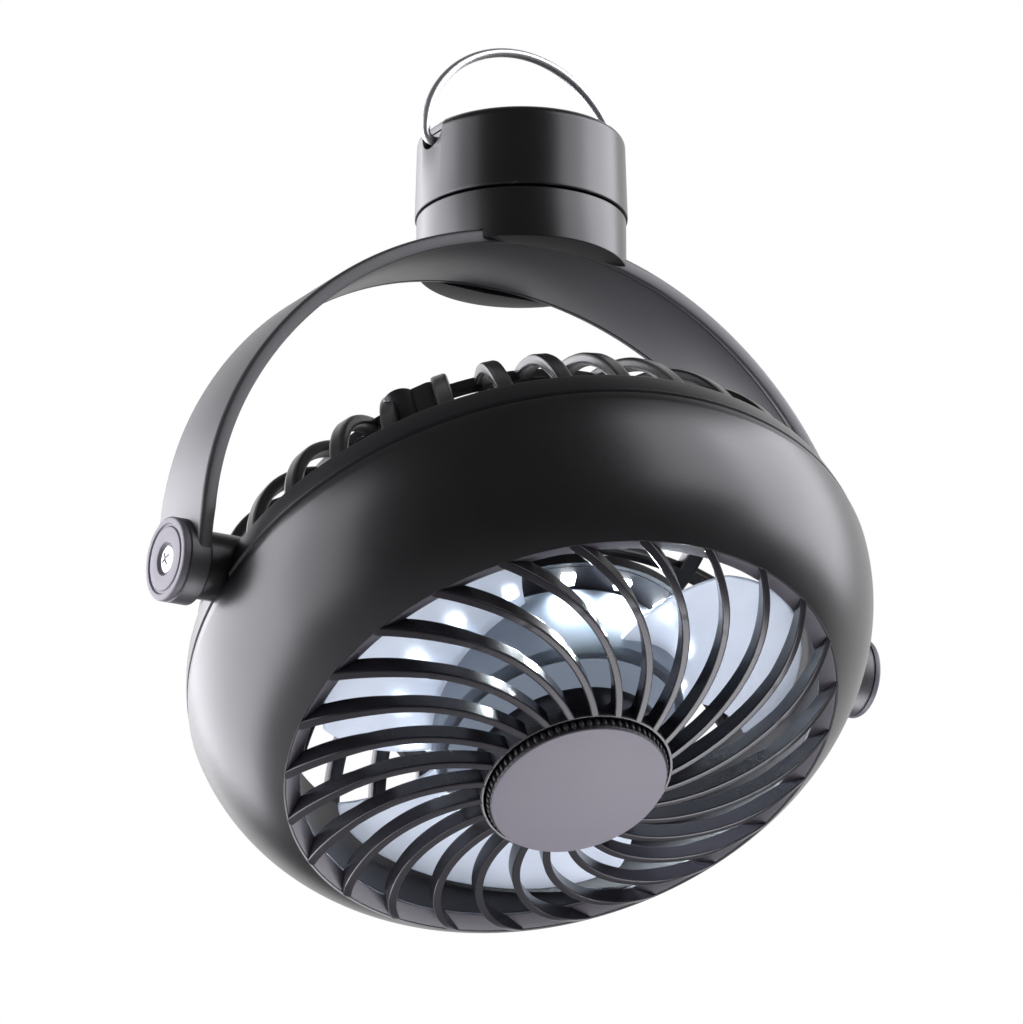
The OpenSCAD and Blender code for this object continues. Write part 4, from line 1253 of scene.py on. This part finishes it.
@dataclass
class Strap:
    """The arched strap that carries the head, with its end bosses, cover and tilt caps."""

    half_w: float = 99.0
    flat: float = 9.0
    rise: float = 5.4
    leg: float = 4.5
    thick: float = 4.0
    edge_r: float = 1.1
    crown_w: float = 38.3
    leg_w: float = 25.5
    knob_r: float = 11.1
    boss_h: float = 2.2
    cap_t: float = 1.8
    cover_t: float = 1.4
    cover_from: float = 13.0
    rim: float = 1.6
    axis_z: float = -161.0
    screw_r: float = 3.5
    screw_cap: float = 40.0
    screw_turn: float = 0.35
    slot_l: float = 2.1
    slot_w: float = 0.42

    def path(self, deep: float) -> list[tuple[float, float]]:
        """Points along the strap at a depth, from the left leg to the right.

        Args:
            deep: the distance outside the strap's inner face.

        Returns:
            Points of x and height above the tilt axis.
        """
        shoulder = self.half_w - self.flat
        top, drop, lean = arch(self.flat, shoulder + self.rise, shoulder)
        foot = self.knob_r - 0.2
        side = [(self.half_w + deep, -foot * math.cos(math.radians(90 * k / 14))) for k in range(15)]
        side.append((self.half_w + deep, self.leg * 0.5))
        side += arc(self.flat, self.leg, shoulder + deep, 0, 90 - lean, 36)
        side += arc(0.0, self.leg - drop, top + deep, 90 - lean, 90, 60)[1:]
        return [(-x, z) for x, z in side[:-1]] + side[::-1]

    def half_width(self, x: float, z: float, inset: float) -> float:
        """Half of the strap's width at a point of its path.

        Args:
            x: the distance from the middle plane.
            z: the height above the tilt axis.
            inset: how far inside the edge.

        Returns:
            The half width.
        """
        half, leg_half, end = self.crown_w / 2, self.leg_w / 2, self.knob_r - 0.2
        taper = half + (leg_half - half) * abs(x) / self.half_w - inset
        if z < 0:
            return min(taper, math.sqrt(max((end - inset) ** 2 - z * z, 1e-6)))
        knee, high = 1.6 * self.knob_r, 4 * self.knob_r
        if z < knee:
            return min(taper, end - inset + (leg_half + 1 - end) * z / knee)
        share = min(1.0, (z - knee) / (high - knee))
        return min(taper, leg_half - inset + 1 + (half - leg_half + 1) * share)

    def sweep(self, name: str, edge: Sequence[Pair], lowest: float = -math.inf) -> bpy.types.Object:
        """Sweeps a section along the strap.

        Args:
            name: the piece's name.
            edge: points of inset and depth down the section's one side; the other side mirrors it.
            lowest: stations under this height are left out.

        Returns:
            The object.
        """
        section = [(*spot, 1) for spot in edge] + [(*spot, -1) for spot in edge[::-1]]
        lines = {deep: self.path(deep) for _, deep in edge}
        stations = [i for i, spot in enumerate(lines[edge[0][1]]) if spot[1] > lowest]
        points = []
        for i in stations:
            for inset, deep, side in section:
                x, z = lines[deep][i]
                points.append((x, side * self.half_width(x, z, inset), z))
        place = PART @ Matrix.Translation((0, 0, self.axis_z))
        return tidy_mesh(raw_mesh(name, points, sleeve(len(stations), len(section)), place), 35.0)

    def build(self) -> None:
        """Makes the strap, its cover, its end bosses and the tilt caps."""
        bend, rim, cover = self.edge_r, self.rim, self.cover_t
        edge = [(bend - bend * math.sin(a), self.thick - bend + bend * math.cos(a))
                for a in (0, 0.4, 0.8, 1.2, math.pi / 2)]
        edge += [(0.0, 0.55), (0.12, 0.2), (0.5, 0.0), (rim - 0.15, 0.0), (rim, 0.15), (rim, cover)]
        finish_piece(self.sweep("yoke_band", edge), STRAP, Body.YOKE, "yoke_strap")
        edge = [(rim + 0.25, cover - 0.05), (rim + 0.25, 0.4), (rim + 0.33, 0.13), (rim + 0.6, 0.0)]
        finish_piece(self.sweep("yoke_inner_cover", edge, self.cover_from), STRAP, Body.YOKE, "yoke_cover")
        foot, top, knob = self.half_w + 0.02, self.half_w + self.thick + self.boss_h, self.knob_r
        for side in (-1, 1):
            axis = along_x(side, PART @ Matrix.Translation((0, 0, self.axis_z)))
            turned("end_boss_" + side_mark(side), [
                (5.0, foot), (5.0, top), (knob - 0.35, top, 0.2), (knob - 0.35, top - 0.35, 0.1),
                (knob, top - 0.7, 0.25), (knob, foot, 0.3)], axis, 96, STRAP, Body.YOKE)
            self.cap(side, axis, top)

    def cap(self, side: int, axis: Matrix, low: float) -> None:
        """Makes one tilt cap and its cross screw.

        Args:
            side: -1 or 1.
            axis: the frame that points out along the tilt axis.
            low: where the cap starts.
        """
        top = low + self.cap_t
        turned("tilt_cap_" + side_mark(side), [
            (1.4, low), (self.knob_r, low, 0.15), (self.knob_r, top, 0.7), (9.4, top, 0.25),
            (9.15, top - 0.45, 0.15), (8.6, top - 0.45, 0.15), (8.35, top - 0.05, 0.25),
            (4.5, top - 0.05, 0.4), (3.85, top - 1.0, 0.2), (1.4, top - 1.0)],
            axis, 128, CAP_FACE, Body.YOKE, *(("tilt_caps",) if side < 0 else ()))
        edge = math.radians(self.screw_cap)
        dome = [(self.screw_r * math.sin(a) / math.sin(edge),
                 top - 0.65 + 0.55 * (math.cos(a) - math.cos(edge)) / (1 - math.cos(edge)))
                for a in np.radians(range(0, 41, 5))]
        dome += [(self.screw_r, top - 0.98), (1.2, top - 0.98), (1.2, top - 4.0), (0.0, top - 4.0)]
        head = lathe("cap_screw_" + side_mark(side), dome, axis, 64, True)
        long, wide = self.slot_l, self.slot_w
        slot = [(-long, -wide), (long, -wide), (long, wide), (-long, wide)]
        bars = [prism("bar", slot, top - 0.75, top + 1, axis @ Matrix.Rotation(turn, 4, "Z"))
                for turn in (self.screw_turn, self.screw_turn + math.pi / 2)]
        finish_piece(cut(head, *bars), STEEL, Body.YOKE, *(("cap_screws",) if side < 0 else ()))


# ---- the base -----------------------------------------------------------------------------------


@dataclass
class Base:
    """The battery base: a cap, a collar under it, and the wire bail."""

    cap_r: float = 28.4
    seam_r: float = 29.0
    cap_h: float = 23.2
    end_z: float = -24.3
    round_r: float = 2.6
    wall: float = 2.3
    end_t: float = 2.5
    groove_in: float = 18.0
    groove_out: float = 23.0
    groove_h: float = 0.8
    notch_r: float = 5.5
    notch_z: float = -26.3
    block_in: float = 21.5
    block_out: float = 26.7
    block_half: float = 8.0
    pin_r: float = 1.42
    port_half: Pair = (4.7, 1.8)
    port_drop: float = 6.5
    collar_r: float = 28.5
    collar_z: float = -62.2
    collar_t: float = 2.7
    seam_gap: float = 0.4
    pin_z: float = -29.5
    bail_half: float = 30.0
    bail_bend: float = 2.6
    bail_shoulder: float = 26.0
    bail_high: float = 28.2
    bail_from: float = 21.5
    wire_r: float = 1.3

    def notch(self, side: int, name: str) -> bpy.types.Object:
        """A tool with a round foot that cuts the bail's notch into one side, -1 or 1."""
        ring = arc(0.0, 0.0, self.notch_r, 180, 360, 30) + [(self.notch_r, 8.0), (-self.notch_r, 8.0)]
        start = self.cap_r - 2.3
        return prism(name, ring, start, start + 8, PART, lambda y, z, x: (side * x, y, self.notch_z + z))

    def pin_hole(self, side: int) -> bpy.types.Object:
        """A tool that bores one side, -1 or 1, for the bail's pin."""
        place = along_x(side, PART @ Matrix.Translation((0, 0, self.pin_z)))
        outline = [(0.0, 19.0), (self.pin_r, 19.0), (self.pin_r, 40.0), (0.0, 40.0)]
        return lathe("pin_hole", outline, place, 32, True)

    def block(self, side: int) -> None:
        """Makes the block behind one notch, which holds the bail's pin."""
        near, far, half = self.block_in, self.block_out, self.block_half
        corners = [(near, -half), (far, -half), (far, half), (near, half)]
        wall = prism("bail_block_" + side_mark(side), corners, self.end_z - 9.2, self.end_z - 2.0, PART,
                     lambda x, y, z: (side * x, y, z))
        finish_piece(cut(wall, self.notch(side, "trim"), self.pin_hole(side)), BASE, Body.BASE)

    def cap(self) -> None:
        """Turns the cap and cuts its side notches, its pin holes and its port."""
        seam_z, under = self.end_z - self.cap_h, self.end_z - self.end_t
        groove_z = self.end_z - self.groove_h
        bore = self.seam_r - self.wall - 0.3
        outline = [(0.0, self.end_z), (self.groove_in - 0.1, self.end_z), (self.groove_in, groove_z),
                   (self.groove_out, groove_z), (self.groove_out + 0.1, self.end_z)]
        outline += arc(self.cap_r - self.round_r, self.end_z - self.round_r, self.round_r, 90, 1.5, 10)
        outline += eased([
            (self.cap_r, self.end_z - self.round_r - 0.2), (self.seam_r - 0.04, seam_z + 1.0),
            (self.seam_r, seam_z, 0.45), (bore, seam_z, 0.3), (bore, under)], 4, False)
        cap = lathe("cap_shell", outline + [(0.0, under)], PART, 256, True)
        tools = []
        for side in (-1, 1):
            tools += [self.notch(side, "notch"), self.pin_hole(side)]
            self.block(side)
        wide, high = self.port_half
        slot = eased([(-wide, -high, 1.7), (wide, -high, 1.7), (wide, high, 1.7), (-wide, high, 1.7)], 8)
        port_z = self.end_z - self.port_drop
        tools.append(prism("port_slot", slot, 20.0, 34.0, PART, lambda x, z, y: (x, y, port_z + z)))
        finish_piece(soften(cut(cap, *tools), 0.3), BASE, Body.BASE, "base_cap")

    def pad(self) -> None:
        """Turns the foot pad, which lies in the end's groove."""
        near, far = self.groove_in + 0.1, self.groove_out - 0.1
        low, high = self.end_z - 0.78, self.end_z + 0.6
        turned("foot_ring", [(near, low), (far, low), (far, high, 0.4), (near, high, 0.4)], PART, 160,
               RUBBER, Body.BASE, "foot_pad")

    def collar(self) -> None:
        """Turns the collar and cuts the strap's slot out of it."""
        top = self.end_z - self.cap_h - self.seam_gap
        edge, inner = self.collar_r, self.collar_r - self.wall
        low, floor = self.collar_z, self.collar_z + self.collar_t
        collar = lathe("collar_shell", eased([
            (8.0, top), (edge - 0.3, top, 0.1), (edge, top - 0.35, 0.2), (edge, low, 0.35), (5.5, low, 0.3),
            (5.5, floor), (inner, floor), (inner, top - 2.4), (8.0, top - 2.4)]), PART, 256)
        strap = Strap()
        slot = strap.sweep("slot", [(0.0, strap.thick - 0.02), (0.0, -20.0)], 60.0)
        finish_piece(cut(collar, slot), BASE, Body.YOKE, "collar")

    def bail(self) -> None:
        """Bends the wire bail."""
        bend, shoulder = self.bail_bend, self.bail_shoulder
        off = self.bail_half - shoulder
        top, drop, lean = arch(off, self.bail_high, shoulder)
        base = self.pin_z + bend
        side = [(self.bail_from, self.pin_z), (self.bail_from + 4.0, self.pin_z)]
        side += arc(self.bail_half - bend, base, bend, -90, 0, 10)
        side += arc(off, base, shoulder, 0, 90 - lean, 19)[1:]
        side += arc(0.0, base - drop, top, 90 - lean, 90, 27)[1:]
        path = [(-x, 0.0, z) for x, z in side[:-1]] + [(x, 0.0, z) for x, z in side[::-1]]
        finish_piece(tube("wire_bail", path, self.wire_r, PART, 28), CHROME, Body.BAIL, "bail")

    def build(self) -> None:
        """Makes the base's pieces."""
        self.cap()
        self.pad()
        self.collar()
        self.bail()


# ---- camera, light and room ---------------------------------------------------------------------


@dataclass(frozen=True)
class Softbox:
    """A large soft lamp that faces the object; its bearing runs from the camera to the picture's right."""

    name: str
    bearing: float
    height: float
    away: float
    size: Pair
    radiance: float
    colour: Point = (0.975, 0.965, 1.03)


SOFTBOXES = (
    Softbox("left_box", -108.0, -3.0, 1.7, (2.3, 2.3), 4.4),
    Softbox("left_side_box", -63.0, 0.0, 1.8, (0.9, 1.8), 2.2),
    Softbox("left_back_box", -148.0, 12.0, 1.9, (0.8, 1.2), 1.2),
    Softbox("right_box", 101.0, 22.0, 1.7, (1.4, 1.4), 4.3),
    Softbox("right_side_box", 61.0, 28.0, 1.8, (1.1, 1.4), 2.3),
    Softbox("low_box", 118.0, -60.0, 0.8, (0.5, 0.5), 5.4),
)


@dataclass
class Studio:
    """The camera, the soft lamps, the floor and the pale room."""

    azimuth: float = -30.2424
    elevation: float = -18.3339
    distance: float = 1.76187
    target: Point = (-0.0032054, 0.0, -0.131169)
    roll: float = -0.0889
    focal_px: float = 6588.28
    image_px: int = 1024
    film: float = 36.0
    floor_z: float = -1.6
    floor_half: float = 6.0
    middle: Point = (0.0, 0.0, -0.13)
    dim: float = 0.09

    @staticmethod
    def way(azimuth: float, elevation: float) -> Vector:
        """The direction from the object at two angles in degrees."""
        az, el = math.radians(azimuth), math.radians(elevation)
        return Vector((math.sin(az) * math.cos(el), -math.cos(az) * math.cos(el), math.sin(el)))

    def camera(self) -> None:
        """Places the camera at the fitted viewpoint."""
        away = self.way(self.azimuth, self.elevation)
        side = (-away).cross(Vector((0, 0, 1))).normalized()
        up = side.cross(-away)
        roll = math.radians(self.roll)
        side, up = side * math.cos(roll) + up * math.sin(roll), up * math.cos(roll) - side * math.sin(roll)
        data = bpy.data.cameras.new("camera")
        data.sensor_fit, data.sensor_width = "AUTO", self.film
        data.lens = self.focal_px * self.film / self.image_px
        data.clip_start, data.clip_end = 0.05, 20.0
        made = link(bpy.data.objects.new("camera", data))
        turn = Matrix((side, up, away)).transposed().to_4x4()
        made.matrix_world = Matrix.Translation(Vector(self.target) + away * self.distance) @ turn
        bpy.context.scene.camera = made

    def light(self, box: Softbox) -> None:
        """Adds one soft lamp."""
        way = self.way(box.bearing + self.azimuth, box.height)
        place = Matrix.LocRotScale(Vector(self.middle) + way * box.away, way.to_track_quat("Z", "Y"), None)
        wide, high = box.size
        lamp = add_lamp(box.name, "AREA", place, shape="RECTANGLE", size=wide, size_y=high,
                        energy=math.pi * wide * high * box.radiance, color=box.colour)
        lamp.visible_camera = False

    def floor(self) -> None:
        """Adds the floor, which looks pale to the camera and darker to the light that it returns."""
        half = self.floor_half
        floor = raw_mesh("floor", [(-half, -half, 0), (half, -half, 0), (half, half, 0), (-half, half, 0)],
                         [(0, 1, 2, 3)], Matrix.Identity(4))
        floor.location = (0, 0, self.floor_z)
        paper = bpy.data.materials.new("floor_paper")
        paper.use_nodes = True
        maker = NodeMaker(paper.node_tree)
        seen = Sock(maker, maker.node("ShaderNodeLightPath").outputs["Is Camera Ray"])
        pale = maker.mix(maker.noise(3.0, 2.0), (0.8, 0.8, 0.8), (0.84, 0.84, 0.84))
        plain = Finish.principled(maker, Base_Color=maker.mix(seen, (0.4, 0.4, 0.4), pale), Roughness=0.9)
        maker.node("ShaderNodeOutputMaterial", Surface=plain)
        floor.data.materials.append(paper)

    def room(self) -> None:
        """Adds the surroundings: white to the camera, dim to the object, and white again behind it."""
        world = bpy.data.worlds.new("room")
        bpy.context.scene.world = world
        world.use_nodes = True
        maker = NodeMaker(world.node_tree)
        rays = maker.node("ShaderNodeLightPath").outputs
        seen, through, gloss = (
            Sock(maker, rays[f"Is {kind} Ray"]) for kind in ("Camera", "Transmission", "Glossy"))
        where = maker.node("ShaderNodeNewGeometry").outputs["Position"]
        level = self.way(self.azimuth, 0.0)
        front = maker.node("ShaderNodeVectorMath", {"operation": "DOT_PRODUCT"}, n0=where, n1=tuple(level))
        behind = Sock(maker, front.outputs["Value"]).step(-0.15, -0.8) * (0.15 + gloss * 0.85)
        dark, white = (
            maker.node("ShaderNodeBackground", Color=(1.0, 1.0, 1.0), Strength=strength).outputs[0]
            for strength in (self.dim, 1.0))
        both = maker.node("ShaderNodeMixShader", n0=(seen + through + behind).clamp(), n1=dark, n2=white)
        maker.node("ShaderNodeOutputWorld", Surface=both.outputs[0])

    def build(self) -> None:
        """Sets up the whole studio."""
        self.camera()
        self.floor()
        self.room()
        for box in SOFTBOXES:
            self.light(box)
        bpy.context.scene.view_settings.view_transform = "Standard"


def dress_cad_nodes() -> None:
    """Gives every CAD node the material of its finish."""
    for name, finish in NODE_FINISH.items():
        piece = frame["nodes"].get(name)
        if piece is not None:
            piece.data.materials.clear()
            piece.data.materials.append(finish.build())


def main() -> None:
    """Builds the scene and reports its pieces."""
    logging.basicConfig(level=logging.INFO, format="%(message)s")
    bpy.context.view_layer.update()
    Studio().build()
    dress_cad_nodes()
    for part in (FrontShell(), SpiralGrille(), Dial(), Rotor(), LightRing(), RearCage(), Strap(), Base()):
        part.build()
        LOG.info("%s is made", type(part).__name__)


if __name__ == "__main__":
    main()
